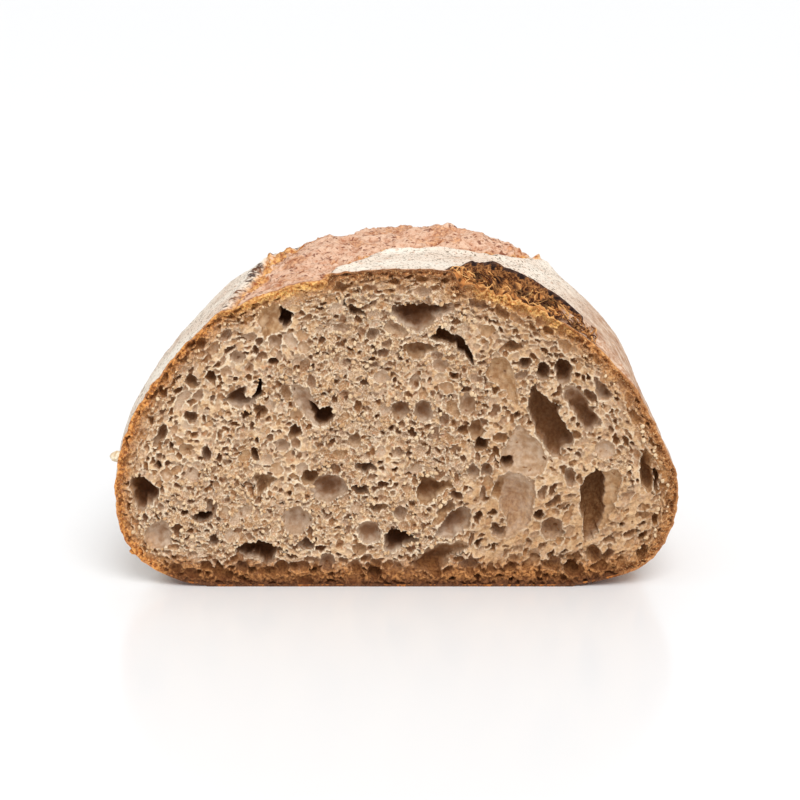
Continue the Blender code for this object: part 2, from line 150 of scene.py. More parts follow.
# The middling holes: across, height, wide, tall, depth, turn in degrees
HOLES = [
    (25.9, 94.9, 7.7, 2.7, 5, -10), (47.1, 72.9, 4.2, 6.7, 7, 0), (53.2, 72.6, 5.1, 8.7, 8, 0),
    (53.3, 86.1, 3.2, 4, 5, 0), (58.1, 83.1, 2.6, 3, 4, 0), (1.2, 59.9, 5.1, 6.7, 5, 0),
    (8.5, 59.6, 5.8, 6.7, 5, -15), (22.9, 61.9, 5.1, 6.7, 4, 0), (18.4, 71.2, 2.6, 2.7, 3, 0),
    (-35, 65.3, 2.9, 5.3, 3, 10), (-38.6, 82.1, 3.8, 4.7, 3, 30), (-50.8, 77.5, 4.5, 4, 3, 30),
    (-45, 79.8, 2.6, 2.7, 3, 0), (-65.3, 69.9, 3.8, 4.7, 5, 30), (-59.2, 70.9, 2.6, 4.7, 5, 20),
    (-74.7, 65.6, 2.6, 3.7, 5, 40), (-7.4, 84.8, 4.5, 3.3, 4, 0), (-4, 78.5, 3.8, 2.7, 3, 0),
    (-65.5, 57.6, 3.8, 4, 5, 0), (-75.6, 51.3, 2.6, 8.7, 5, -30), (-61.3, 45.5, 3.2, 4.7, 5, 0),
    (-56.5, 43.9, 2.2, 3.3, 3, 0), (-48.2, 58.3, 2.6, 2.7, 5, 0), (-44.4, 57.3, 1.9, 2, 4, 0),
    (-45.1, 50.2, 1.9, 2, 3, 0), (-45.8, 45.2, 2.6, 4.7, 5, 10), (-36.5, 47.9, 4.5, 4, 3, 0),
    (-13.3, 49.6, 5.1, 5, 4, 0), (-9.8, 40.5, 7, 3.3, 6, 0), (-27.6, 37.1, 5.8, 5.3, 6, -30),
    (-21.8, 33.4, 11.5, 8.7, 6, 15), (-11.8, 33, 5.8, 2.7, 6, 0), (-32.5, 22.5, 9.6, 8.7, 4, 0),
    (-77.4, 17.4, 8.3, 9.3, 4, -35), (-62.7, 23.5, 6.1, 3.7, 8, 0), (-68.4, 25.9, 2.6, 2.7, 4, 0),
    (-59.2, 16, 3.8, 4.3, 5, 0), (-29.4, 14.3, 5.8, 3.3, 6, -10), (-8.6, 18.7, 8.3, 6.7, 5, -20),
    (1.5, 24.9, 4.5, 4.7, 4, 0), (-5.6, 27.3, 5.8, 3, 4, 0), (-7.3, 4.7, 4.5, 4.3, 6, 0),
    (-22.6, 8.1, 5.1, 6, 4, 0), (-37.3, 6.7, 4.5, 4.7, 4, 0), (-46.4, 6, 3.2, 3, 4, 0),
    (-57.4, 7.1, 2.6, 2.7, 4, 0), (-64, 5, 1.9, 2, 3, 0), (-12.8, 6, 2.2, 2.3, 3, 0),
    (19.6, 30.7, 3.5, 3.3, 4, 0), (25.6, 53.3, 5.1, 6.7, 5, 0), (27.2, 48.2, 4.5, 4.7, 7, 0),
    (25, 39.5, 3.8, 4.7, 4, 0), (29.2, 39.8, 3.2, 4.7, 4, 20), (35.3, 42.2, 4.5, 4, 8, 0),
    (26.8, 23.5, 2.2, 3.3, 4, 0), (46.2, 24.5, 2.6, 4.7, 5, -30), (50.5, 19.8, 7, 8, 5, -35),
    (56.3, 37.1, 3.8, 6, 4, 0), (50.9, 33.7, 1.9, 4.7, 3, -20), (66.8, 46.5, 6.4, 6, 2, 0),
    (70.6, 49.6, 1.9, 4, 3, 0), (64.6, 11.2, 4.8, 6, 5, 0), (57.2, 6, 4.8, 5, 7, 0),
    (79.9, 11.9, 3.2, 6, 6, -25), (83.8, 23.2, 2.2, 4.7, 4, 0), (23.6, 7.8, 6.4, 4, 4, 10),
    (37.3, 6.4, 4.5, 3.3, 4, 0), (51, 7.4, 5.1, 2.7, 4, 0), (26.6, 3.3, 2.6, 1.7, 3, 0),
    (37.4, 2.2, 2.2, 1.3, 3, 0), (46.8, 2.9, 2.2, 1.7, 3, 0), (18.5, 2.2, 1.9, 1.3, 3, 0),
]

# The pores: smallest radius, largest radius, how many
PORES = [(1.3, 2.2, 170), (0.9, 1.3, 560), (0.6, 0.9, 2300), (0.4, 0.6, 5200), (0.26, 0.4, 6500)]
BASE_PORES = 90           # in the row above the base
RIND_PORES = 5200         # pressed flat along the crust
INNER_PORES = 6500        # in the walls of larger holes
LOOSE_CRUMBS = 900

draw = np.random.default_rng(41)
SCATTER = draw.uniform(-1.0, 1.0, 8192)


def smooth(low, high, value):
    share = np.clip((value - low) / (high - low), 0.0, 1.0)
    return share * share * (3.0 - 2.0 * share)


def ripple(spots, size, seed):
    """A random value from -1 to 1 at each spot, which changes smoothly over about the given size."""
    place = np.asarray(spots, float) / size + np.array([17.3, 5.7, 11.1]) * seed
    cell = np.floor(place).astype(np.int64)
    way = place - cell
    way = way * way * (3.0 - 2.0 * way)
    total = np.zeros(place.shape[:-1])
    for corner in range(8):
        step = np.array([corner & 1, corner >> 1 & 1, corner >> 2 & 1])
        spot = cell + step
        key = spot[..., 0] * 73856093 ^ spot[..., 1] * 19349663 ^ spot[..., 2] * 83492791
        weight = np.prod(np.where(step, way, 1.0 - way), axis=-1)
        total += SCATTER[(key ^ key >> 13) & 8191] * weight
    return total


def rough(spots, size, seed, layers=3):
    """Ripples of halving size and height, added up."""
    return sum(0.55 ** i * ripple(spots, size * 0.5 ** i, seed + 7 * i) for i in range(layers))


def through(points, steps):
    """A smooth open line through points."""
    ends = [2 * points[0] - points[1], *points, 2 * points[-1] - points[-2]]
    t = np.arange(steps)[:, None] / steps
    runs = []
    for a, b, c, d in zip(ends, ends[1:], ends[2:], ends[3:]):
        runs.append(0.5 * (2 * b + (c - a) * t + (2 * a - 5 * b + 4 * c - d) * t * t
                           + (3 * b - a - 3 * c + d) * t ** 3))
    return np.concatenate([*runs, points[-1:]])


def inside_depth(loop, x, y):
    """Distance to a closed outline in plan, positive inside it."""
    nearest = np.full(x.shape, 1e9)
    inside = np.zeros(x.shape, bool)
    for (ax, ay), (bx, by) in zip(loop, loop[1:] + loop[:1]):
        ex, ey = bx - ax, by - ay
        t = np.clip(((x - ax) * ex + (y - ay) * ey) / (ex * ex + ey * ey), 0.0, 1.0)
        nearest = np.minimum(nearest, np.hypot(x - ax - t * ex, y - ay - t * ey))
        if ay != by:
            inside ^= ((ay > y) != (by > y)) & (x < ax + (y - ay) * ex / ey)
    return np.where(inside, nearest, -nearest)


def loaf_form(x, z, depth):
    """The section's points carried back to a depth, where the loaf has swelled or tapered."""
    way = np.clip(depth / HALF_LENGTH, 0.0, 1.0)
    plan = (1.0 - way ** 2.2) ** (1 / 2.2)
    hump = np.sin(np.pi * np.clip(depth / 106.0, 0.0, 1.0)) ** 2
    rise = z - WAIST
    shoulder = np.clip(rise / 70.0, 0.0, 1.0) ** 1.6
    swell = np.where(x < 0, 0.055, 0.11)
    across = x * plan * (1.0 + swell * hump * shoulder)
    crown = (1.0 - way ** 2.9) ** (1 / 2.9)
    belly = (1.0 - way ** 5.0) ** (1 / 5.0)
    return across, WAIST + rise * np.where(rise > 0, crown, belly)


ROUND_SLASH = [tuple(point) for point in through(np.array(LONG_SLASH, float), 3)]


def crust_relief(x, y, z):
    """How far the crust stands out from the plain form, and how much of each surface a spot has."""
    spot = np.stack([x, y, z], -1)
    flat = np.stack([x, y, 0 * z], -1)
    back = smooth(0.0, 14.0, y)
    foot = smooth(1.0, 12.0, z)
    lumps = 1.1 * ripple(spot, 38, 1) + 0.5 * ripple(spot, 15, 2)
    upper = smooth(48.0, 62.0, z)
    ragged = 1.4 * ripple(flat, 6, 3) + 0.9 * ripple(flat, 2.4, 4) + 0.4 * ripple(flat, 1.0, 5)
    long_in = inside_depth(ROUND_SLASH, x, y) + ragged
    short_in = inside_depth(SHORT_SLASH, x, y) + 0.45 * ragged
    long_in = np.where(upper > 0.02, long_in, -30.0)
    short_in = np.where(upper > 0.02, short_in, -30.0)
    floor = smooth(-0.6, 1.6, long_in)
    bulge = smooth(2.0, 24.0, long_in) * smooth(5.0, 50.0, y)
    crease = 0.6 - 1.6 * np.abs(
        ripple(spot, 5.0, 9) + 0.5 * ripple(spot, 2.2, 10) + 0.25 * ripple(spot, 1.1, 11))
    coarse = 0.8 * rough(spot, 7, 8, 2) + 0.9 * crease
    left_edge = smooth(6.0, -14.0, x) * smooth(120.0, 80.0, y)
    curl = 0.7 * np.exp(-((long_in + 1.6) / 1.6) ** 2) * smooth(2.0, 12.0, y)
    knobs = 0.0
    for kx, ky, wide, tall in KNOBS:
        gap = np.hypot(x - kx, y - ky) / wide
        knobs = knobs + tall * np.exp(-gap ** 2 * 1.3) * (1.0 + 0.5 * ripple(spot, 2.2, 12))
    torn = smooth(-0.3, 2.8, short_in)
    streaks = np.stack([x * 0.13, y, z * 0.13], -1)
    side = smooth(50.0, 60.0, x)
    curls = 0.8 - 2.2 * np.abs(ripple(spot, 3.6, 14) + 0.45 * ripple(spot, 1.5, 13))
    shreds = curls * (1.0 - side) + side * (0.75 * ripple(streaks, 1.0, 14) + 0.4 * ripple(streaks, 0.5, 15))
    crags = (np.clip(rough(spot, 4.2, 16, 3), -0.2, 1.0)
             * smooth(10.0, 2.0, long_in) * smooth(0.0, 2.0, long_in))
    skin_fine = (0.2 + 0.2 * smooth(3.0, 0.0, y)) * rough(spot, 2.6, 17, 3)
    height = (back * foot * lumps + foot * skin_fine * (1 - floor) * (1 - torn)
              + upper * (floor * (3.5 * bulge - 1.5 + 1.3 * coarse * (0.35 + 0.65 * back)) + curl + knobs
                         + 2.2 * crags * back
                         - 4.1 * smooth(-0.5, 4.5, short_in) * (1 - 0.55 * smooth(50.0, 74.0, x))
                         + torn * shreds * (1.0 - 0.65 * side)))
    blotch = ripple(spot, 2.0, 18) + 0.7 * ripple(spot, 1.0, 19)
    patchy = smooth(-0.1, 0.5, blotch + 0.7 * smooth(16.0, 24.0, y) * smooth(60.0, 40.0, y))
    burn = np.maximum(left_edge * patchy * np.exp(-((long_in + 0.6) / 1.7) ** 2),
                      np.exp(-((short_in + 0.4) / 1.3) ** 2)
                      * smooth(0.0, 0.6, blotch + 1.5 * smooth(58.0, 42.0, x)) * smooth(74.0, 62.0, x))
    wider = 6.0 * smooth(56.0, 66.0, x) + 5.0 * smooth(70.0, 80.0, x)
    frayed = smooth(-1.4, 0.3, short_in + wider) * smooth(50.0, 60.0, z)
    golden = (smooth(9.0 + 6.0 * smooth(25.0, 45.0, y), 1.0, long_in)
              * smooth(4.0, 14.0, y) * smooth(-2.0, -22.0, x))
    kinds = {"opened": floor * upper, "torn": frayed, "side": side, "burn": burn * upper,
             "grazed": smooth(44.0, 66.0, x + 9.0 * ripple(spot, 17, 42)) * smooth(90.0, 20.0, y),
             "golden": np.maximum(golden, smooth(5.0, 0.5, long_in)) * upper, "rind": smooth(0.9, 0.3, y),
             "crag": crease, "curls": curls}
    return height, kinds


def closed_section():
    """The whole section at the cut, base included, and how far along it each point lies."""
    crust = through(SECTION, SECTION_STEPS)
    base = np.linspace(crust[-1], crust[0], SECTION_STEPS)[1:]
    line = np.concatenate([crust, base])
    length = np.concatenate([[0.0], np.cumsum(np.hypot(*np.diff(line, axis=0).T))])
    return line, length


def cut_outline():
    """The crust's edge at the cut, with its relief."""
    line, length = closed_section()
    along = np.linspace(0.0, length[-1], 2400, endpoint=False)
    x = np.interp(along, length, line[:, 0])
    z = np.interp(along, length, line[:, 1])
    dx = np.roll(x, -3) - np.roll(x, 3)
    dz = np.roll(z, -3) - np.roll(z, 3)
    size = np.hypot(dx, dz)
    height = crust_relief(x, 0 * x, z)[0]
    x = x - dz / size * height
    z = z + dx / size * height
    return np.stack([x, np.where(z < 0.45, 0.0, z)], -1)


def add_piece(name, spots, faces, values=None, solid=False):
    """A mesh piece from points in millimetres behind the cut, with its values per point."""
    metres = np.asarray(spots, float) * MM
    metres[:, 1] += CUT_Y * MM
    mesh = bpy.data.meshes.new(name)
    mesh.from_pydata(metres.tolist(), [], faces)
    mesh.validate()
    if solid:
        shell = bmesh.new()
        shell.from_mesh(mesh)
        bmesh.ops.recalc_face_normals(shell, faces=shell.faces)
        shell.to_mesh(mesh)
        shell.free()
    mesh.shade_smooth()
    for key, value in (values or {}).items():
        layer = mesh.attributes.new(key, "FLOAT", "POINT")
        layer.data.foreach_set("value", np.asarray(value, np.float32).ravel())
    piece = bpy.data.objects.new(name, mesh)
    bpy.context.scene.collection.objects.link(piece)
    return piece


def pack_bubbles(clear, sizes, room, rounds):
    """Drops bubbles of falling size on the face wherever the earlier ones leave room."""
    found = []
    for low, high, count in sizes:
        radii = np.sort(draw.uniform(low, high, count))[::-1]
        left = 0
        for _ in range(rounds):
            if left == count:
                break
            spots = draw.integers(0, clear.shape, (3 * (count - left) + 50, 2))
            spots = spots[clear[spots[:, 0], spots[:, 1]] > room * radii[left]]
            for i, j in spots:
                if left == count:
                    break
                radius = radii[left]
                if clear[i, j] <= room * radius:
                    continue
                found.append((i, j, radius))
                left += 1
                reach = int((radius + 2.5) / FACE_GRID) + 1
                i0, i1 = max(0, i - reach), min(clear.shape[0], i + reach + 1)
                j0, j1 = max(0, j - reach), min(clear.shape[1], j + reach + 1)
                window = clear[i0:i1, j0:j1]
                gaps = np.hypot(*np.ogrid[i0 - i:i1 - i, j0 - j:j1 - j])
                np.minimum(window, gaps * FACE_GRID - radius, out=window)
    return found


def blurred(field, reach):
    """The field averaged over a square of the given half-width in cells, twice."""
    wide = 2 * reach + 1
    for _ in range(2):
        for axis in (0, 1):
            pad = [(reach + 1, reach) if k == axis else (0, 0) for k in (0, 1)]
            total = np.cumsum(np.pad(field, pad, mode="edge"), axis=axis)
            ends = [slice(None), slice(None)]
            starts = [slice(None), slice(None)]
            ends[axis] = slice(wide, None)
            starts[axis] = slice(0, -wide)
            field = (total[tuple(ends)] - total[tuple(starts)]) / wide
    return field


def build_crumb():
    """The cut face as a surface hollowed by bubbles, cut off at the crust's edge."""
    edge = cut_outline()
    xs = np.arange(-93.0, 93.0, FACE_GRID)
    zs = np.arange(-0.6, 109.0, FACE_GRID)
    gx, gz = np.meshgrid(xs, zs, indexing="ij")
    middle = np.array([0.0, 40.0])
    around = np.arctan2(edge[:, 1] - middle[1], edge[:, 0] - middle[0])
    order = np.argsort(around)
    reach = np.hypot(*(edge - middle).T)
    turn = np.arctan2(gz - middle[1], gx - middle[0])
    limit = np.interp(turn, around[order], reach[order], period=2 * np.pi)
    inside = np.hypot(gx - middle[0], gz - middle[1]) < limit
    tree = kdtree.KDTree(len(edge))
    for i, (x, z) in enumerate(edge):
        tree.insert((x, z, 0.0), i)
    tree.balance()
    gap = np.zeros(gx.shape)
    nearest = np.zeros(gx.shape, int)
    near_zone = inside | (np.hypot(gx - middle[0], gz - middle[1]) < limit + 1.5)
    for i, j in np.argwhere(near_zone):
        _, index, distance = tree.find((gx[i, j], gz[i, j], 0.0))
        gap[i, j] = distance
        nearest[i, j] = index
    ahead = edge[(nearest + 3) % len(edge)] - edge[(nearest - 3) % len(edge)]
    tangent = np.arctan2(ahead[..., 1], ahead[..., 0])
    gap = np.where(inside, gap, -gap)

    spot = np.stack([gx, 0 * gx, gz], -1)
    warp_x = 0.6 * ripple(spot, 4.6, 21) + 0.62 * ripple(spot, 1.9, 22) + 0.4 * ripple(spot, 0.95, 23)
    warp_z = 0.6 * ripple(spot, 4.6, 24) + 0.62 * ripple(spot, 1.9, 25) + 0.4 * ripple(spot, 0.95, 26)
    hollow = np.zeros(gx.shape)
    wall = np.zeros(gx.shape)
    tone = np.zeros(gx.shape)
    clear = np.where(inside, np.minimum(gap - 0.25, 50.0), -1.0)

    def sink(box, bulge, front, deep, size):
        """Opens a bubble where it reaches the surface of what is carved so far."""
        opened = (bulge > 0) & (hollow[box] >= front - deep * bulge - 0.12)
        change = opened & (front + deep * bulge > hollow[box])
        hollow[box] = np.where(change, front + deep * bulge, hollow[box])
        wall[box] = np.where(change, size, wall[box])
        tone[box] = np.where(change, draw.uniform(-1.0, 1.0), tone[box])

    def carve(x, z, front, a, b, deep, angle, size):
        span = max(a, b) + 1.6
        box = (slice(*np.searchsorted(xs, (x - span, x + span))),
               slice(*np.searchsorted(zs, (z - span, z + span))))
        u = gx[box] + warp_x[box] - x
        w = gz[box] + warp_z[box] - z
        along = (u * math.cos(angle) + w * math.sin(angle)) / a
        over = (w * math.cos(angle) - u * math.sin(angle)) / b
        sink(box, np.sqrt(np.clip(1.0 - along ** 2 - over ** 2, 0.0, None)), front, deep, size)

    whole = (slice(None), slice(None))
    for fx, fz, deep, sheer, outline in CAVES:
        loop = through(np.array(outline + outline[:1], float), 8)[:-1]
        angles = np.arctan2(loop[:, 1] - fz, loop[:, 0] - fx)
        turned = np.argsort(angles)
        far = np.hypot(loop[:, 0] - fx, loop[:, 1] - fz)
        u, w = gx + 1.1 * warp_x - fx, gz + 1.1 * warp_z - fz
        reach = 1.07 * np.interp(np.arctan2(w, u), angles[turned], far[turned], period=2 * np.pi)
        share = np.hypot(u, w) / reach
        sink(whole, np.clip(1.0 - share ** 2, 0.0, None) ** sheer, 0.0, deep, 4.0)
        clear = np.minimum(clear, (share - 1.0) * reach * 0.8)
    for x, z, wide, tall, deep, degrees in HOLES:
        a, b, angle = wide / 2, tall / 2, math.radians(degrees)
        carve(x, z, 0.0, a * 1.05, b * 1.05, deep, angle, 0.5 * (a + b))
        u = (gx - x) * math.cos(angle) + (gz - z) * math.sin(angle)
        w = (gz - z) * math.cos(angle) - (gx - x) * math.sin(angle)
        clear = np.minimum(clear, (np.hypot(u / a, w / b) - 1.0) * min(a, b))

    calm = smooth(-0.1, 0.7, ripple(spot, 15, 34) + 0.5 * smooth(10.0, 40.0, gx)
                  + 0.6 * smooth(18.0, 34.0, gx) * smooth(48.0, 34.0, gz)) * smooth(4.0, 9.0, gap)
    pulled = smooth(14.0, 30.0, gx) * smooth(46.0, 34.0, gz) * smooth(5.0, 9.0, gap)
    for i, j, radius in pack_bubbles(clear, PORES, 0.62, 6):
        if draw.uniform() < (0.85 * calm[i, j] if radius < 0.6 else 0.6 * pulled[i, j] * (radius < 1.0)):
            continue
        near_crust = float(np.clip(1.0 - gap[i, j] / 18.0, 0.0, 1.0))
        low_band = gz[i, j] < 9.0
        angle = tangent[i, j] if near_crust > 0.2 else draw.uniform(0, math.pi)
        stretch = 1.0 + draw.uniform(0.05, 0.6) + (0.0 if low_band else 0.8 * near_crust)
        if radius > 0.6 and gx[i, j] > 12.0 and gz[i, j] < 34.0 and gap[i, j] > 6.0:
            angle = math.radians(38.0) + draw.normal(0, 0.35)
            stretch += 0.6
        a = radius * 1.1 * math.sqrt(stretch)
        b = radius * 1.1 / math.sqrt(stretch)
        deep = radius * (draw.uniform(1.6, 3.0) if draw.uniform() < 0.22 else draw.uniform(0.5, 1.5))
        carve(xs[i], zs[j], draw.uniform(-0.4, 0.15) * deep, a, b, deep, angle, radius)
    for _ in range(BASE_PORES):
        x, z = draw.uniform(-62.0, 78.0), draw.uniform(3.6, 10.5)
        radius = draw.uniform(0.8, 1.7)
        carve(x, z, 0.0, radius * 1.2, radius, radius * draw.uniform(1.2, 2.4), draw.normal(0.0, 0.4), radius)
    for _ in range(RIND_PORES):
        i, j = draw.integers(0, gap.shape)
        if 0.5 < gap[i, j] < 5.5 + 2.0 * draw.uniform():
            radius = draw.uniform(0.25, 0.6)
            deep = radius * draw.uniform(0.8, 2.2)
            carve(xs[i], zs[j], draw.uniform(-0.4, 0.1) * deep, radius * draw.uniform(1.3, 2.6), radius * 0.7,
                  deep, tangent[i, j] + draw.normal(0.0, 0.2), radius)
    for _ in range(INNER_PORES):
        i = int(draw.integers(0, len(xs)))
        j = int(draw.integers(0, len(zs)))
        in_cave = wall[i, j] > 1.5
        if hollow[i, j] > 0.6 and (not in_cave or draw.uniform() < 0.12):
            radius = draw.uniform(0.3, 0.6 if in_cave else 1.0)
            front = hollow[i, j] + draw.uniform(-0.3, 0.0 if in_cave else 0.3) * radius
            carve(xs[i], zs[j], front, radius, radius * 0.8, radius * draw.uniform(0.6, 1.2),
                  draw.uniform(0, 3.1), radius)

    under_slash = smooth(12.0, 18.0, gx) * smooth(84.0, 74.0, gx) * smooth(50.0, 62.0, gz)
    room = 0.5 + np.maximum(gap, 0.0) * (1.3 - 0.75 * under_slash)
    hollow = np.minimum(hollow, room) * smooth(0.05, 0.7, gap)
    shallow = np.minimum(hollow, 1.1)
    ridge = np.clip((blurred(shallow, 1) - shallow) / 0.35, -1.5, 1.5)
    torn_up = np.clip(0.35 * ridge, 0.0, 0.3) * smooth(0.6, 0.1, hollow)
    sleek = smooth(1.2, 2.4, wall) * smooth(0.5, 1.6, hollow)
    grain = (0.42 * rough(spot, 1.25, 31, 2) + 0.2 * ripple(spot, 3.3, 32)) * (1.0 - 0.6 * sleek)
    grain = grain * (1.0 - 0.65 * calm) + 0.35 * np.maximum(sleek, calm) * ripple(spot, 2.6, 33)
    fibres = np.stack([0.2 * (0.9 * gx + 0.44 * gz), 0 * gx, 0.9 * gz - 0.44 * gx], -1)
    folds = 0.8 * pulled * smooth(0.35, 0.0, np.abs(ripple(fibres, 2.4, 35) + 0.3 * ripple(spot, 1.6, 36)))
    depth = hollow + (grain - torn_up - folds * (1.0 - sleek) + 0.5 * pulled) * smooth(0.0, 0.8, gap)

    snapped = np.zeros(gx.shape, bool)
    cells = inside[:-1, :-1] | inside[1:, :-1] | inside[:-1, 1:] | inside[1:, 1:]
    for rows, columns in ((slice(0, -1), slice(0, -1)), (slice(1, None), slice(0, -1)),
                          (slice(0, -1), slice(1, None)), (slice(1, None), slice(1, None))):
        snapped[rows, columns] |= cells
    snapped &= ~inside
    px = np.where(snapped, edge[nearest, 0], gx)
    pz = np.where(snapped, edge[nearest, 1], gz)
    depth = np.where(snapped, 0.0, depth)
    low = smooth(7.0, 1.5, edge[nearest, 1])
    gold = smooth(88.0, 94.0, pz) * smooth(-20.0, -26.0, px) + smooth(78.0, 84.0, pz) * smooth(18.0, 26.0, px)
    gold *= smooth(60.0, 50.0, px)
    flap = smooth(90.0, 96.0, pz) * smooth(-23.0, -19.0, px) * smooth(34.0, 20.0, px)
    fields = {"hollow": hollow, "ridge": ridge, "gap": np.clip(gap, 0, 60), "wall": wall, "tone": tone,
              "low": low, "gold": gold, "flap": flap, "calm": calm}
    rims = np.argwhere((ridge > 0.45) & (hollow < 0.5) & (gap > 3.0) & (gz > 11.0) & (calm < 0.7))
    rims = rims[draw.permutation(len(rims))[:LOOSE_CRUMBS]]
    rims = np.stack([xs[rims[:, 0]], depth[rims[:, 0], rims[:, 1]], zs[rims[:, 1]]], -1)
    halves = []
    for name, first, last in (("crumb_left", 0, len(xs) // 2), ("crumb_right", len(xs) // 2, len(xs) - 1)):
        mine = np.zeros(cells.shape, bool)
        mine[first:last] = cells[first:last]
        corners = np.argwhere(mine)
        a = corners[:, 0] * len(zs) + corners[:, 1]
        quads = np.stack([a, a + len(zs), a + len(zs) + 1, a + 1], -1)
        used, compact = np.unique(quads, return_inverse=True)
        spots = np.stack([px.ravel()[used], depth.ravel()[used], pz.ravel()[used]], -1)
        values = {key: field.ravel()[used] for key, field in fields.items()}
        halves.append(add_piece(name, spots, compact.reshape(-1, 4).tolist(), values))
    return halves, rims


class Wire:
    """The output socket of a node, with arithmetic that adds Math nodes."""

    def __init__(self, tree, socket):
        self.tree = tree
        self.socket = socket

    def node(self, kind, settings, values, output=0):
        """Adds a node: its settings first, then its sockets' values or links."""
        made = self.tree.nodes.new(kind)
        for key, value in settings.items():
            setattr(made, key, value)
        for key, value in values.items():
            if isinstance(value, Wire):
                self.tree.links.new(value.socket, made.inputs[key])
            else:
                made.inputs[key].default_value = value
        return Wire(self.tree, made.outputs[output])

    def sum_of(operation, swapped=False):
        """The method behind an arithmetic sign, or behind its reflected form."""
        def work(self, other):
            first, second = (other, self) if swapped else (self, other)
            return self.node("ShaderNodeMath", {"operation": operation}, {0: first, 1: second})
        return work

    __add__, __radd__ = sum_of("ADD"), sum_of("ADD", True)
    __sub__, __rsub__ = sum_of("SUBTRACT"), sum_of("SUBTRACT", True)
    __mul__, __rmul__ = sum_of("MULTIPLY"), sum_of("MULTIPLY", True)

    def ramp(self, low, high):
        """Rises from 0 at low to 1 at high, smoothly."""
        return self.node("ShaderNodeMapRange", {"interpolation_type": "SMOOTHSTEP"},
                         {"Value": self, "From Min": low, "From Max": high})

    def tint(self, under, over):
        """Mixes by this value from one colour to the other, each a wire or a screen colour, 0 to 255."""
        ends = [colour if isinstance(colour, Wire) else paint(*colour) for colour in (under, over)]
        return self.node("ShaderNodeMix", {"data_type": "RGBA"}, {0: self, 6: ends[0], 7: ends[1]}, 2)

    def speckle(self, size, detail, seed=0.0):
        """Noise over this wire's places, with features of a size in millimetres."""
        shifted = self.node("ShaderNodeVectorMath", {"operation": "ADD"}, {0: self, 1: (seed, seed, seed)})
        return self.node("ShaderNodeTexNoise", {},
                         {"Vector": shifted, "Scale": 1 / (size * MM), "Detail": detail})

    def value(self, name):
        """A value stored on the mesh."""
        return self.node("ShaderNodeAttribute", {"attribute_name": name}, {}, 2)


def paint(red, green, blue):
    """A screen colour in linear light."""
    linear = [(c / 255 / 12.92) if c < 11 else ((c / 255 + 0.055) / 1.055) ** 2.4 for c in (red, green, blue)]
    return (*linear, 1.0)


def new_material(name, roughness, gloss):
    """An empty food material: returns it, its shader and a wire of object coordinates."""
    made = bpy.data.materials.new(name)
    made.use_nodes = True
    tree = made.node_tree
    shader = tree.nodes["Principled BSDF"]
    shader.inputs["Roughness"].default_value = roughness
    shader.inputs["Specular IOR Level"].default_value = gloss
    place = Wire(tree, tree.nodes.new("ShaderNodeTexCoord").outputs["Object"])
    return made, shader, place


def cover(base, *coats):
    """Lays coats over a base colour, each a mask and a colour."""
    for mask, colour in coats:
        base = mask.tint(base, colour)
    return base


def join(shader, colour, height, strength, deep):
    """Links a colour and bumps, up to a depth in millimetres, to a shader."""
    bumps = colour.node("ShaderNodeBump", {}, {"Strength": strength, "Distance": deep * MM, "Height": height})
    colour.tree.links.new(colour.socket, shader.inputs["Base Color"])
    colour.tree.links.new(bumps.socket, shader.inputs["Normal"])


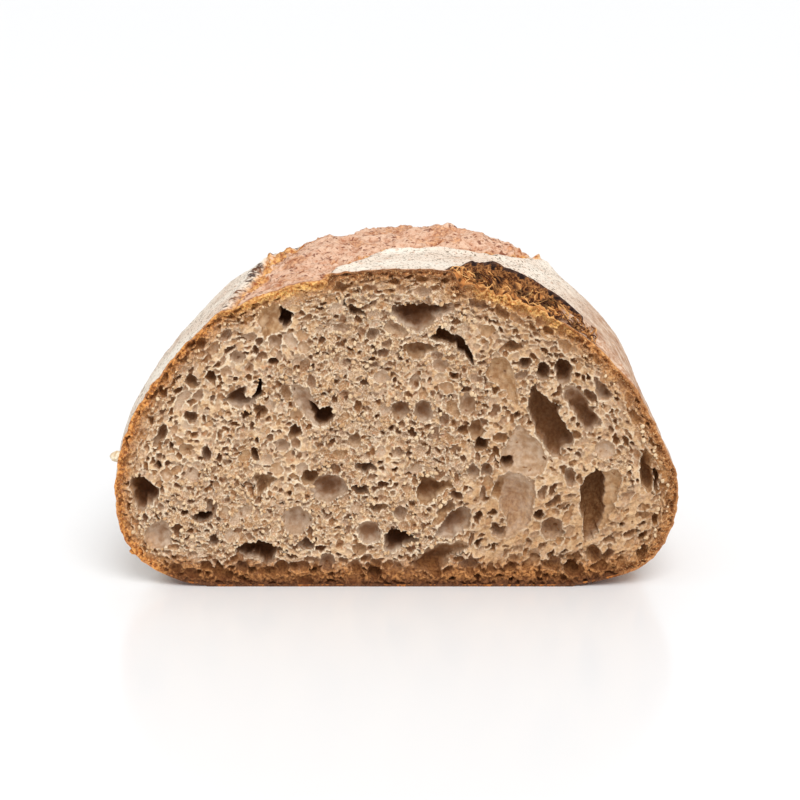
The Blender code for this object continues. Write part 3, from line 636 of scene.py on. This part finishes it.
def crumb_material():
    """Cream to tan crumb, taupe on smooth hole walls, gold and brown at the crust; painted shade down the
    holes and in the dips, painted highlights on the rims.
    """
    made, shader, at = new_material("crumb", 0.85, 0.15)
    hollow, ridge, gap, wall, tone, low, gold, flap, calm = (at.value(n) for n in (
        "hollow", "ridge", "gap", "wall", "tone", "low", "gold", "flap", "calm"))
    across, up = (at.node("ShaderNodeSeparateXYZ", {}, {"Vector": at}, axis) for axis in (0, 2))
    broad = at.speckle(7.0, 3.0)
    mid = at.speckle(2.2, 3.0, 1.9)
    fine = at.speckle(0.9, 3.0, 0.3)
    tiny = at.speckle(0.45, 2.0, 0.7)
    mauve = at.speckle(3.4, 2.0, 14.2).ramp(0.52, 0.64)
    cells = (tone + (mid - 0.5) * 1.5).ramp(-0.7, 0.9).tint((196, 170, 146), (170, 124, 82))
    sleek = wall.ramp(1.3, 2.6) * hollow.ramp(0.3, 1.4)
    taupe = (mid * 0.6 + broad * 0.4).ramp(0.4, 0.6).tint((208, 186, 164), (176, 146, 118))
    taupe = (tone.ramp(0.1, 0.8) * 0.6).tint(taupe, mid.ramp(0.4, 0.6).tint((206, 168, 120), (160, 116, 66)))
    grit = (1.0 - sleek * 0.8) * (1.0 - calm * 0.7)
    small_hole_shade = hollow.ramp(0.5, 1.8) * (1.0 - wall.ramp(1.4, 2.4))
    flecks = at.speckle(1.3, 1.0, 2.1).ramp(0.62, 0.70) * tiny.ramp(0.35, 0.6) * (1.0 - hollow.ramp(0.8, 2.0))
    pale = at.speckle(1.6, 1.0, 8.2).ramp(0.64, 0.72) * (1.0 - hollow.ramp(0.5, 2.0))
    shaded = ((across + (broad - 0.5) * 20.0 * MM).ramp(12.0 * MM, 34.0 * MM)
              * (1.0 - up.ramp(20.0 * MM, 44.0 * MM) * 0.55))
    colour = cover(
        broad.ramp(0.35, 0.68).tint((229, 195, 154), (204, 165, 123)),
        (mauve * 0.5, (204, 176, 154)),
        (fine.ramp(0.46, 0.66) * (1.0 - calm * 0.6), (162, 122, 88)),
        # Painted shade, partly the cells' own darker skin: the colour turns tan as soon as the surface dips
        # into a hole.
        (hollow.ramp(0.05, 0.5) * 0.7, cells),
        # Painted highlight on the raised rims between holes, partly the pale torn crumb itself, and painted
        # shade in the dips beside them.
        ((ridge - (mid - 0.5) * 3.0).ramp(0.1, 1.1) * 0.8, (243, 226, 200)),
        ((0.0 - ridge).ramp(0.1, 1.0) * 0.5, (128, 88, 56)),
        (sleek * 0.8, taupe),
        (tiny.ramp(0.54, 0.66) * grit * 0.55, (246, 230, 204)),
        ((1.0 - tiny.ramp(0.34, 0.46)) * grit * 0.5, (126, 84, 52)),
        # Painted shade: small deep pores darkened to brown.
        ((small_hole_shade + (mid - 0.5) * 0.8).ramp(0.2, 1.0) * 0.65, mauve.tint((136, 86, 44), (130, 94, 66))),
        # Painted shade: holes turn darker brown the deeper they go, and very dark brown from about 4 to 8 mm
        # down.
        ((hollow - sleek * 0.6 + (mid - 0.5) * 1.8).ramp(1.4, 5.0) * 0.74, (122, 76, 40)),
        ((hollow + (mid - 0.5) * 2.0).ramp(4.2, 8.0) * 0.85, (80, 42, 14)),
        (flecks * 0.6, (184, 108, 58)),
        (pale * 0.5, (240, 218, 182)),
        (shaded * 0.45, fine.ramp(0.35, 0.65).tint((186, 142, 96), (140, 94, 54))))
    warm = gap + (broad - 0.5) * 8.0
    brown = fine.ramp(0.36, 0.66).tint((206, 144, 86), (124, 76, 42))
    # Painted shade: the browned crumb by the base darker down its holes.
    brown = (hollow.ramp(0.3, 1.6) * 0.7).tint(brown, (98, 54, 26))
    band = gap + (mid - 0.5) * 2.4
    left = (0.0 - across).ramp(45.0 * MM, 65.0 * MM)
    right = across.ramp(62.0 * MM, 80.0 * MM)
    toasted_and_hole_shade = cover(
        fine.ramp(0.34, 0.66).tint((212, 142, 76), (140, 80, 38)),
        (left * 0.85, fine.ramp(0.4, 0.62).tint((236, 162, 84), (152, 82, 34))),
        (right * 0.6, fine.ramp(0.3, 0.6).tint((182, 118, 66), (112, 62, 30))),
        (gold * 0.9, fine.ramp(0.4, 0.62).tint((252, 204, 120), (204, 126, 56))),
        (flap * 0.85, fine.ramp(0.35, 0.7).tint((170, 108, 62), (104, 58, 30))),
        (low * 0.95, fine.ramp(0.36, 0.66).tint((108, 66, 43), (52, 29, 20))),
        # Painted shade: the toasted band darker down its holes.
        (hollow.ramp(0.2, 1.4) * (0.65 - gold * 0.15), (96, 50, 24)),
        (tiny.ramp(0.56, 0.66) * (1.0 - low) * (0.6 - left * 0.25), (248, 214, 158)),
        ((1.0 - tiny.ramp(0.36, 0.46)) * 0.5, (110, 60, 28)))
    skin = cover(
        fine.ramp(0.3, 0.7).tint((240, 186, 124), (192, 122, 66)),
        (right * 0.7, (184, 132, 92)),
        (left * 0.6, fine.ramp(0.4, 0.65).tint((232, 160, 84), (150, 82, 36))),
        ((low + flap * 0.8).ramp(0.1, 0.9), (104, 70, 50)))
    colour = cover(
        colour,
        ((1.0 - warm.ramp(2.5, 9.0)) * (0.55 + low * 0.25),
         fine.ramp(0.3, 0.7).tint((214, 156, 92), (150, 96, 50))),
        (low * (1.0 - (warm + (mid - 0.5) * 6.0).ramp(4.5, 11.5)) * 0.85, brown),
        ((1.0 - band.ramp(0.8, 4.8)) * 0.95, toasted_and_hole_shade),
        ((1.0 - band.ramp(0.3, 1.3)) * 0.6, skin))
    join(shader, colour, fine * 0.6 + tiny * 0.4, 0.6, 0.4)
    return made


crumb_look = crumb_material()
crumb_halves, crumb_rims = build_crumb()
for half in crumb_halves:
    half.data.materials.append(crumb_look)
    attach(half, "root")
    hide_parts("half_loaf")


# LOOSE CRUMBS.  Torn flakes and grains of crumb that the knife dragged up along the rims of the holes.
# They still hang on to the cut face, pale against the shadows behind them.

def build_loose(rims):
    ball = bmesh.new()
    bmesh.ops.create_icosphere(ball, subdivisions=2, radius=1.0)
    round_spots = np.array([vert.co for vert in ball.verts])
    round_faces = np.array([[vert.index for vert in face.verts] for face in ball.faces])
    ball.free()
    spots, faces, tones = [], [], []
    for k, (x, y, z) in enumerate(rims):
        size = 0.34 + 0.5 * draw.uniform() ** 1.8
        squash = np.array([1.0, draw.uniform(0.45, 0.8), draw.uniform(0.6, 1.0)])
        turn = np.array(Euler(draw.uniform(0.0, 6.28, 3)).to_matrix())
        own = round_spots + 3.0 * k
        swell = 1.0 + 0.45 * ripple(own, 0.8, 71) + 0.25 * ripple(own, 0.4, 72)
        lump = (round_spots * swell[:, None] * squash) @ turn.T * size
        spots.append(lump + np.array([x, y - 0.35 * size, z]) + draw.normal(0.0, 0.15, 3))
        faces.append(round_faces + k * len(round_spots))
        tones.append(np.full(len(round_spots), draw.uniform()))
    return add_piece("loose_crumbs", np.concatenate(spots), np.concatenate(faces).tolist(),
                     {"tone": np.concatenate(tones)})


def loose_material():
    made, shader, at = new_material("loose_crumb", 0.9, 0.1)
    fine = at.speckle(0.7, 2.0, 4.4)
    light = at.value("tone") + (fine - 0.5) * 1.4
    colour = light.ramp(0.0, 0.9).tint((196, 156, 114), (232, 206, 170))
    join(shader, colour, fine, 0.6, 0.3)
    return made


loose = build_loose(crumb_rims)
loose.data.materials.append(loose_material())
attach(loose, "root")
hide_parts("half_loaf")


# THE CRUST.  The baked skin of the loaf, 3 to 4 mm thick and one with the crumb.  It is dusted with flour,
# save where two slashes opened in the oven: a broad rough one over the crown and a torn one on the shoulder.

CRUST_LIP = 0.35          # how far behind the cut face its hidden flange ends


def back_rows():
    """Depths of the crust's rows, close together near the cut and at the rounded tip."""
    rows = [0.0]
    while rows[-1] < 0.74 * HALF_LENGTH:
        rows.append(rows[-1] + 0.55 + 0.85 * float(smooth(30.0, 80.0, rows[-1])))
    start = rows[-1] / HALF_LENGTH
    rows += [HALF_LENGTH * (start + (1 - start) * math.sin(0.5 * math.pi * i / 34)) for i in range(1, 34)]
    return np.array(rows)


def section_columns():
    """Places along the section, closest over the top where both slashes lie and wide under the base."""
    line, length = closed_section()
    places = [0.0]
    while places[-1] < length[-1]:
        height = np.interp(places[-1], length, line[:, 1])
        on_base = places[-1] > length[(len(SECTION) - 1) * SECTION_STEPS]
        places.append(places[-1] + (3.2 if on_base else 1.05 - 0.5 * float(smooth(50.0, 70.0, height))))
    places = np.array(places[:-1])
    return np.interp(places, length, line[:, 0]), np.interp(places, length, line[:, 1])


def build_crust():
    rows = back_rows()
    sx, sz = section_columns()
    count = len(sx)
    depth = np.repeat(rows[:, None], count, axis=1)
    x, z = loaf_form(sx[None, :], sz[None, :], depth)
    spots = np.stack([x, depth, z], -1)
    round_way = np.roll(spots, -1, axis=1) - np.roll(spots, 1, axis=1)
    back_way = np.gradient(spots, axis=0)
    normal = np.cross(round_way, back_way)
    normal /= np.maximum(np.linalg.norm(normal, axis=-1, keepdims=True), 1e-9)
    heart = np.array([0.0, 40.0, 40.0])
    outward = np.sign(np.sum(normal * (spots - heart)))
    normal *= outward
    normal[0, :, 1] = 0.0
    normal[0] /= np.linalg.norm(normal[0], axis=-1, keepdims=True)
    height, kinds = crust_relief(x, depth, z)
    spots = spots + normal * height[..., None]
    spots[0, :, 1] = 0.0
    spots[..., 1] = np.maximum(spots[..., 1], 0.0)
    spots[..., 2] = np.where(spots[..., 2] < 0.45, 0.0, spots[..., 2])
    inward = spots[0] - normal[0] * 0.6
    inward[:, 1] = CRUST_LIP
    inward[:, 2] = np.maximum(inward[:, 2], 0.15)
    tip = np.array([[0.0, HALF_LENGTH, WAIST]])
    everything = np.concatenate([inward, spots.reshape(-1, 3), tip])
    total = len(rows) + 1
    index = np.arange(total * count).reshape(total, count)
    right = np.roll(index, -1, axis=1)
    quads = np.stack([index[:-1], index[1:], right[1:], right[:-1]], -1).reshape(-1, 4)
    faces = quads.tolist()
    faces += [[a, total * count, b] for a, b in zip(index[-1].tolist(), right[-1].tolist())]
    if outward > 0:
        faces = [face[::-1] for face in faces]

    def spread(field):
        """A field's values for the flange, the rows and the tip."""
        return np.concatenate([field[0], field.ravel(), [0.0]])

    values = {name: spread(field) for name, field in kinds.items()}
    values["under"] = spread(smooth(9.0, 0.5, spots[..., 2]))
    values["worn"] = spread(smooth(46.0, 4.0, spots[..., 2]) * smooth(2.0, 30.0, depth))
    return add_piece("crust", everything, faces, values)


def crust_material():
    """Floured skin on the flanks, rough rosy-brown baked crumb in the slash, burnt along the raised rims;
    painted shade in the creases and torn pockets, painted highlights on the crests.
    """
    made, shader, at = new_material("crust", 0.82, 0.2)
    opened, torn, side, burn, golden, under, rind, crag, curls, grazed, worn = (at.value(n) for n in (
        "opened", "torn", "side", "burn", "golden", "under", "rind", "crag", "curls", "grazed", "worn"))
    broad = at.speckle(16.0, 4.0, 0.9)
    mid = at.speckle(4.0, 4.0, 1.7)
    fine = at.speckle(1.1, 3.0, 2.9)
    tiny = at.speckle(0.5, 2.0, 5.1)
    specks = at.speckle(1.1, 1.0, 7.7).ramp(0.60, 0.67) * mid.ramp(0.36, 0.56)
    dots = at.speckle(0.75, 1.0, 19.3).ramp(0.58, 0.66) * broad.ramp(0.30, 0.5)
    rusty = at.speckle(2.3, 2.0, 12.7).ramp(0.60, 0.70)
    streak_place = at.node("ShaderNodeMapping", {}, {"Vector": at, "Scale": (0.3, 0.8, 0.4)})
    streaks = streak_place.speckle(1.7, 5.0, 3.3)
    scraped = cover(
        (streaks * 0.4 + mid * 0.6).ramp(0.34, 0.64).tint((222, 196, 172), (166, 120, 88)),
        (fine.ramp(0.56, 0.68) * 0.6, (206, 146, 92)))
    thin = (worn * 0.75 + (broad - 0.5) * 1.8 + (mid - 0.5) * 1.1).ramp(0.1, 0.95)
    bare = (under + (mid - 0.5) * 0.9).ramp(0.35, 0.85)
    skin = cover(
        broad.ramp(0.30, 0.66).tint((244, 235, 220), (229, 211, 193)),
        (fine.ramp(0.45, 0.75) * 0.5, (220, 198, 178)),
        (specks * 0.85, (104, 86, 66)),
        (dots * 0.7, (112, 92, 70)),
        (rusty * 0.45, (196, 142, 108)),
        (grazed * 0.88, scraped),
        (thin * 0.6, mid.ramp(0.35, 0.65).tint((206, 164, 122), (168, 118, 78))),
        (bare, mid.ramp(0.32, 0.68).tint((170, 104, 58), (112, 62, 36))))
    amber = cover(
        (fine + (mid - 0.5) * 0.6).ramp(0.32, 0.7).tint((244, 188, 108), (168, 92, 42)),
        (at.speckle(1.5, 2.0, 21.7).ramp(0.58, 0.66) * 0.8, (96, 56, 36)))
    rosy = cover(
        mid.ramp(0.35, 0.66).tint((230, 192, 164), (206, 156, 126)),
        # Painted shade in the creases of the slash floor, and a painted highlight on their crests.
        ((0.0 - crag + (fine - 0.5) * 0.8).ramp(0.0, 1.0) * 0.6, (158, 98, 66)),
        ((crag + (mid - 0.5) * 1.2).ramp(0.2, 0.8) * 0.5, (240, 210, 184)),
        (fine.ramp(0.48, 0.68) * 0.7, (172, 116, 84)),
        (at.speckle(2.0, 2.0, 9.4).ramp(0.57, 0.65) * 0.85, (122, 64, 40)),
        (at.speckle(9.0, 2.0, 15.3).ramp(0.50, 0.64) * 0.65,
         fine.ramp(0.35, 0.6).tint((222, 158, 104), (158, 92, 54))),
        (tiny.ramp(0.56, 0.68) * 0.4, (244, 222, 200)),
        ((golden + (mid - 0.5) * 2.4 + (fine - 0.5) * 1.2).ramp(0.4, 0.85) * 0.85, amber))
    shreds = cover(
        # Partly painted shade and highlight: the shreds darker in the troughs of their curls and lighter on
        # the crests; the dark patches are painted shade for pockets.
        (curls * 0.4 + (mid - 0.5) * 1.6 + 0.5).ramp(0.05, 0.75).tint((66, 36, 22), (204, 136, 76)),
        ((curls + (fine - 0.5) * 2.0).ramp(0.2, 1.0) * 0.8, (244, 192, 124)),
        (at.speckle(4.4, 2.0, 25.1).ramp(0.53, 0.61) * 0.85, (46, 22, 14)))
    flank = cover(
        (streaks * 0.6 + fine * 0.4).ramp(0.34, 0.66).tint((226, 196, 170), (164, 120, 92)),
        (fine.ramp(0.55, 0.7) * 0.6, (190, 118, 66)))
    scorched = mid.ramp(0.35, 0.65).tint((62, 42, 36), (128, 88, 62))
    colour = cover(
        skin,
        (opened, rosy),
        (torn, (side + (mid - 0.5) * 0.4).ramp(0.2, 0.8).tint(shreds, flank)),
        ((burn + (fine - 0.5) * 1.5).ramp(0.45, 0.95), scorched),
        (rind * 0.9, fine.ramp(0.35, 0.7).tint((196, 124, 62), (120, 66, 34))))
    join(shader, colour, (fine * 0.7 + tiny * 0.3) * (0.35 + opened * 0.55 + torn * 0.5), 0.6, 0.7)
    return made


crust = build_crust()
crust.data.materials.append(crust_material())
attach(crust, "root")
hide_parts("half_loaf")


# THE EAR.  The rim of crust that lifted where the shoulder slash tore open.  It is thin, curled over and
# burnt almost black along its edge.

EAR_LINE = [(19.5, 4.6), (22, 7.0), (26, 10), (31, 13.5), (37, 12.5), (46, 11.5), (54, 11), (60, 9.4)]
EAR_X, EAR_Y = np.array(EAR_LINE).T
EAR_HEIGHT = 1.9
EAR_THICKNESS = 1.1
EAR_LEAN = 0.5            # how far its tip curls over, for its height
EAR_FOOT = 5.8            # how deep it is rooted in the crust
CROWN_RADIUS = 130.0      # for the crust's slope from side to side


def section_x_to_z(x, y):
    """Height of the plain crust over a place in plan, by the section's upper half."""
    upper = SECTION[SECTION[:, 1] > 45]
    line = through(upper, 30)
    px, pz = loaf_form(line[:, 0], line[:, 1], np.full(len(line), y))
    order = np.argsort(px)
    return float(np.interp(x, px[order], pz[order]))


def crust_top(x, y):
    """Height of the crust with its relief over a place in plan."""
    z = section_x_to_z(x, y)
    height = crust_relief(np.array([x]), np.array([y]), np.array([z]))[0][0]
    return z + height / math.cos(math.atan2(abs(x), CROWN_RADIUS))


def tube_faces(rings, sides, first=0):
    """The quads round a tube of rings of points, and its two caps."""
    corners = first + np.arange(rings * sides).reshape(rings, sides)
    ahead = np.roll(corners, -1, axis=1)
    quads = np.stack([corners[:-1], ahead[:-1], ahead[1:], corners[1:]], -1).reshape(-1, 4)
    return quads.tolist() + [corners[0, ::-1].tolist(), corners[-1].tolist()]


def build_ear():
    """A curled blade along a line in plan, ragged at its top edge, set into the crust."""
    track = through(np.array(EAR_LINE, float), 10)
    levels = 9
    spots = []
    for i, (x, y) in enumerate(track):
        way = i / (len(track) - 1)
        rise = EAR_HEIGHT * smooth(0.0, 0.22, way) * smooth(1.0, 0.45, way)
        rise = rise * (1.0 + 0.35 * float(ripple(np.array([x, y, 0.0]), 4.5, 51))
                       + 0.22 * float(ripple(np.array([x, y, 0.0]), 1.5, 52))) + 0.35
        ahead = track[min(i + 1, len(track) - 1)] - track[max(i - 1, 0)]
        ahead = ahead / np.linalg.norm(ahead)
        side = np.array([ahead[1], -ahead[0]])
        base = section_x_to_z(x, y)
        front, back = [], []
        for j in range(levels):
            share = j / (levels - 1)
            bend = EAR_LEAN * rise * share ** 1.7
            wave = 0.25 * float(ripple(np.array([x, y, share * 4]), 2.0, 53))
            half = 0.5 * EAR_THICKNESS * (1.0 - 0.6 * share ** 2)
            height = base - EAR_FOOT + (rise + EAR_FOOT) * share
            centre = np.array([x, y]) + side * (bend + wave * share)
            front.append((*(centre + side * half), height))
            back.append((*(centre - side * half), height - 0.2 * share))
        spots += front + back[::-1]
    spots = np.array(spots)
    spots[:, 1] = np.maximum(spots[:, 1], 0.25)
    sides = 2 * levels
    edge = np.array([min(j, sides - 1 - j) / (levels - 1) for _ in track for j in range(sides)])
    return add_piece("ear", spots, tube_faces(len(track), sides), {"edge": edge}, solid=True)


def burnt_material():
    """Burnt skin: near black along its edge, with brown at its foot."""
    made, shader, at = new_material("burnt_rim", 0.8, 0.12)
    edge = at.value("edge")
    mid = at.speckle(2.6, 3.0, 1.1)
    fine = at.speckle(0.7, 3.0, 6.1)
    outer = mid.ramp(0.35, 0.65).tint((46, 32, 30), (104, 74, 60))
    inner = (fine * 0.6 + mid * 0.4).ramp(0.38, 0.62).tint((206, 144, 88), (84, 46, 28))
    colour = (1.0 - edge + (mid - 0.5) * 1.3).ramp(0.10, 0.24).tint(outer, inner)
    join(shader, colour, fine, 0.7, 0.5)
    return made


ear = build_ear()
ear.data.materials.append(burnt_material())
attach(ear, "root")
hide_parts("half_loaf")


# TORN STRANDS.  Threads and shreds of dough that pulled out as the shoulder slash opened and baked hard,
# golden to dark brown.  They cross each other between the ear and the cut and are grown on to the crust
# at both ends.

STRANDS = 120


def build_strands():
    spots, faces, tones = [], [], []
    sides, steps = 7, 14
    for k in range(STRANDS):
        x = draw.uniform(17.0, 64.0)
        top_y = float(np.interp(x, [18, 30, 60, 66], [4.0, 12.5, 9.0, 7.0]))
        y = draw.uniform(0.5, top_y)
        turn = draw.choice([0.9, 1.2, -1.0, 2.2, 0.3, -0.5]) + draw.normal(0, 0.35)
        length = draw.uniform(2.0, 6.0)
        radius = draw.uniform(0.15, 0.4)
        arch = draw.uniform(0.2, 1.5)
        bow = draw.uniform(-2.6, 2.6)
        tone = draw.uniform(0.0, 1.0)
        way = np.linspace(-0.5, 0.5, steps)
        px = x + way * length * math.cos(turn) - bow * (0.25 - way ** 2) * math.sin(turn)
        py = y + way * length * math.sin(turn) * 0.8 + bow * (0.25 - way ** 2) * math.cos(turn)
        py = np.clip(py, 0.45, 13.5)
        pz = np.array([crust_top(a, b) for a, b in zip(px, py)])
        pz = pz + arch * (1.0 - (2 * way) ** 2) - 0.25 * radius
        if k % 3 == 0:
            rim_y = float(np.interp(x, EAR_X, EAR_Y))
            end_x, end_y = x + draw.normal(1.0, 4.0), draw.uniform(0.5, 3.5)
            run = way + 0.5
            px = x + (end_x - x) * run + bow * np.sin(np.pi * run) * 0.6
            py = rim_y - 0.6 + (end_y - rim_y + 0.6) * run
            high = crust_top(x, rim_y) + draw.uniform(-0.6, 1.0)
            pz = high + (crust_top(end_x, end_y) + 0.1 - high) * run + 0.4 * arch * np.sin(np.pi * run) - 0.3
        wander = np.stack([px, py, pz + 9.0 * k], -1)
        px = px + 1.1 * ripple(wander, 2.6, 62) * (1.0 - (2 * way) ** 4)
        pz = pz + 0.6 * ripple(wander, 2.6, 63) * (1.0 - (2 * way) ** 4)
        centre = np.stack([px, py, pz], -1)
        ahead = np.gradient(centre, axis=0)
        ahead /= np.linalg.norm(ahead, axis=1, keepdims=True)
        side = np.cross(ahead, np.array([0.0, 0.0, 1.0]))
        side /= np.maximum(np.linalg.norm(side, axis=1, keepdims=True), 1e-6)
        lift = np.cross(side, ahead)
        faces += tube_faces(steps, sides, k * steps * sides)
        turnings = np.linspace(0, 2 * np.pi, sides, endpoint=False)
        fat = radius * (1.0 - 0.55 * (2 * np.abs(way)) ** 2.5)
        fat = fat * (1.0 + 0.3 * ripple(centre, 1.4, 61))
        ring = (centre[:, None] + fat[:, None, None]
                * (np.cos(turnings)[None, :, None] * side[:, None]
                   + 0.75 * np.sin(turnings)[None, :, None] * lift[:, None]))
        ring[..., 1] = np.maximum(ring[..., 1], 0.2)
        spots.append(ring.reshape(-1, 3))
        tones.append(np.full(steps * sides, tone))
    values = {"tone": np.concatenate(tones)}
    return add_piece("torn_strands", np.concatenate(spots), faces, values, solid=True)


def strand_material():
    made, shader, at = new_material("torn_dough", 0.75, 0.12)
    tone = at.value("tone")
    mid = at.speckle(2.4, 3.0, 3.1)
    fine = at.speckle(0.6, 2.0, 4.7)
    colour = cover(
        (tone * 0.7 + (mid - 0.5) * 1.8 + 0.15).ramp(0.1, 0.85).tint((84, 46, 28), (214, 148, 86)),
        ((tone + mid).ramp(1.05, 1.55) * 0.7, (244, 196, 128)),
        # Painted shade: dark patches matching the painted pockets among the shreds under the strands.
        (at.speckle(4.4, 2.0, 25.1).ramp(0.51, 0.60) * 0.75, (62, 32, 20)))
    join(shader, colour, fine, 0.5, 0.35)
    return made


strands = build_strands()
strands.data.materials.append(strand_material())
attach(strands, "root")
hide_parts("half_loaf")


# STUCK BITS.  A crumb and a flake of crust that the knife left on the left edge of the cut.  They are the
# loaf's own crumb and crust, pressed on.

def build_bit(name, middle, radii, seed):
    """A rough lump: an ellipsoid grid, pushed in and out."""
    rings, sides = 22, 34
    spots = []
    for i in range(1, rings):
        for j in range(sides):
            a, b = math.pi * i / rings, 2 * math.pi * j / sides
            spots.append((math.sin(a) * math.cos(b), math.sin(a) * math.sin(b), math.cos(a)))
    spots += [(0, 0, 1), (0, 0, -1)]
    spots = np.array(spots)
    swell = 1.0 + 0.28 * ripple(spots, 0.7, seed) + 0.16 * ripple(spots, 0.28, seed + 1)
    spots = spots * swell[:, None] * np.array(radii) + np.array(middle)
    faces = []
    for i in range(rings - 2):
        for j in range(sides):
            k = (j + 1) % sides
            faces.append((i * sides + j, (i + 1) * sides + j, (i + 1) * sides + k, i * sides + k))
    top, bottom = len(spots) - 2, len(spots) - 1
    last = (rings - 2) * sides
    for j in range(sides):
        k = (j + 1) % sides
        faces.append((j, k, top))
        faces.append((last + k, last + j, bottom))
    return add_piece(name, spots, faces, solid=True)


def bit_material(name, light, dark):
    made, shader, at = new_material(name, 0.75, 0.25)
    mid = at.speckle(1.2, 3.0, 2.2)
    fine = at.speckle(0.5, 2.0, 5.6)
    colour = mid.ramp(0.35, 0.68).tint(light, dark)
    join(shader, colour, fine, 0.7, 0.4)
    return made


for name, middle, radii, light, dark in (
        ("stuck_crumb", (-90.0, 2.2, 43.6), (2.3, 1.8, 1.9), (244, 232, 206), (205, 176, 138)),
        ("stuck_flake", (-84.4, 1.6, 11.6), (2.4, 1.3, 1.3), (226, 152, 76), (150, 84, 40))):
    bit = build_bit(name, middle, radii, len(name))
    bit.data.materials.append(bit_material(name, light, dark))
    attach(bit, "root")
    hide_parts("half_loaf")


# THE FLOOR.  A plain white studio floor, faintly glossy, which runs on behind the loaf.
# It takes the loaf's shadow and a weak mirror image, and isn't part of the loaf.

def build_floor():
    mesh = bpy.data.meshes.new("floor")
    half = 4.0
    corners = [(-half, -half, 0), (half, -half, 0), (half, half, 0), (-half, half, 0)]
    mesh.from_pydata(corners, [], [(0, 1, 2, 3)])
    floor = bpy.data.objects.new("floor", mesh)
    bpy.context.scene.collection.objects.link(floor)
    made, shader, _ = new_material("floor", 0.2, 0.6)
    shader.inputs["Base Color"].default_value = (0.91, 0.917, 0.926, 1.0)
    floor.data.materials.append(made)
    return floor


build_floor()


# LIGHT.  Soft studio light: a white surround, and one very broad lamp high on the right in front.
# The lamp shades the upper walls of the holes and leaves a faint shadow on the left, behind the loaf.

scene = bpy.context.scene
scene.view_settings.view_transform = "Standard"
world = bpy.data.worlds.new("studio")
world.use_nodes = True
world.node_tree.nodes["Background"].inputs["Color"].default_value = (1.0, 1.0, 1.0, 1.0)
world.node_tree.nodes["Background"].inputs["Strength"].default_value = 0.8
scene.world = world
light = bpy.data.lights.new("broad_lamp", "SUN")
light.energy = 1.75
light.angle = math.radians(34.0)
lamp = bpy.data.objects.new("broad_lamp", light)
lamp.rotation_euler = (math.radians(38.0), math.radians(11.0), 0.0)
scene.collection.objects.link(lamp)


# CAMERA.  Sixteen degrees above the level, 900 mm from the cut.
# Its lens and shifts frame the loaf as in the photograph.

tilt = math.radians(16.0)
distance = 0.9
lens = bpy.data.cameras.new("camera")
lens.sensor_width = 36.0
lens.lens = 126.45
lens.shift_x = 0.002
lens.shift_y = 0.00667
lens.clip_end = 20.0
camera = bpy.data.objects.new("camera", lens)
camera.location = (0.00076, CUT_Y * MM - distance * math.cos(tilt), 0.0615 + distance * math.sin(tilt))
camera.rotation_euler = (math.pi / 2 - tilt, 0.0, 0.0)
scene.collection.objects.link(camera)
scene.camera = camera
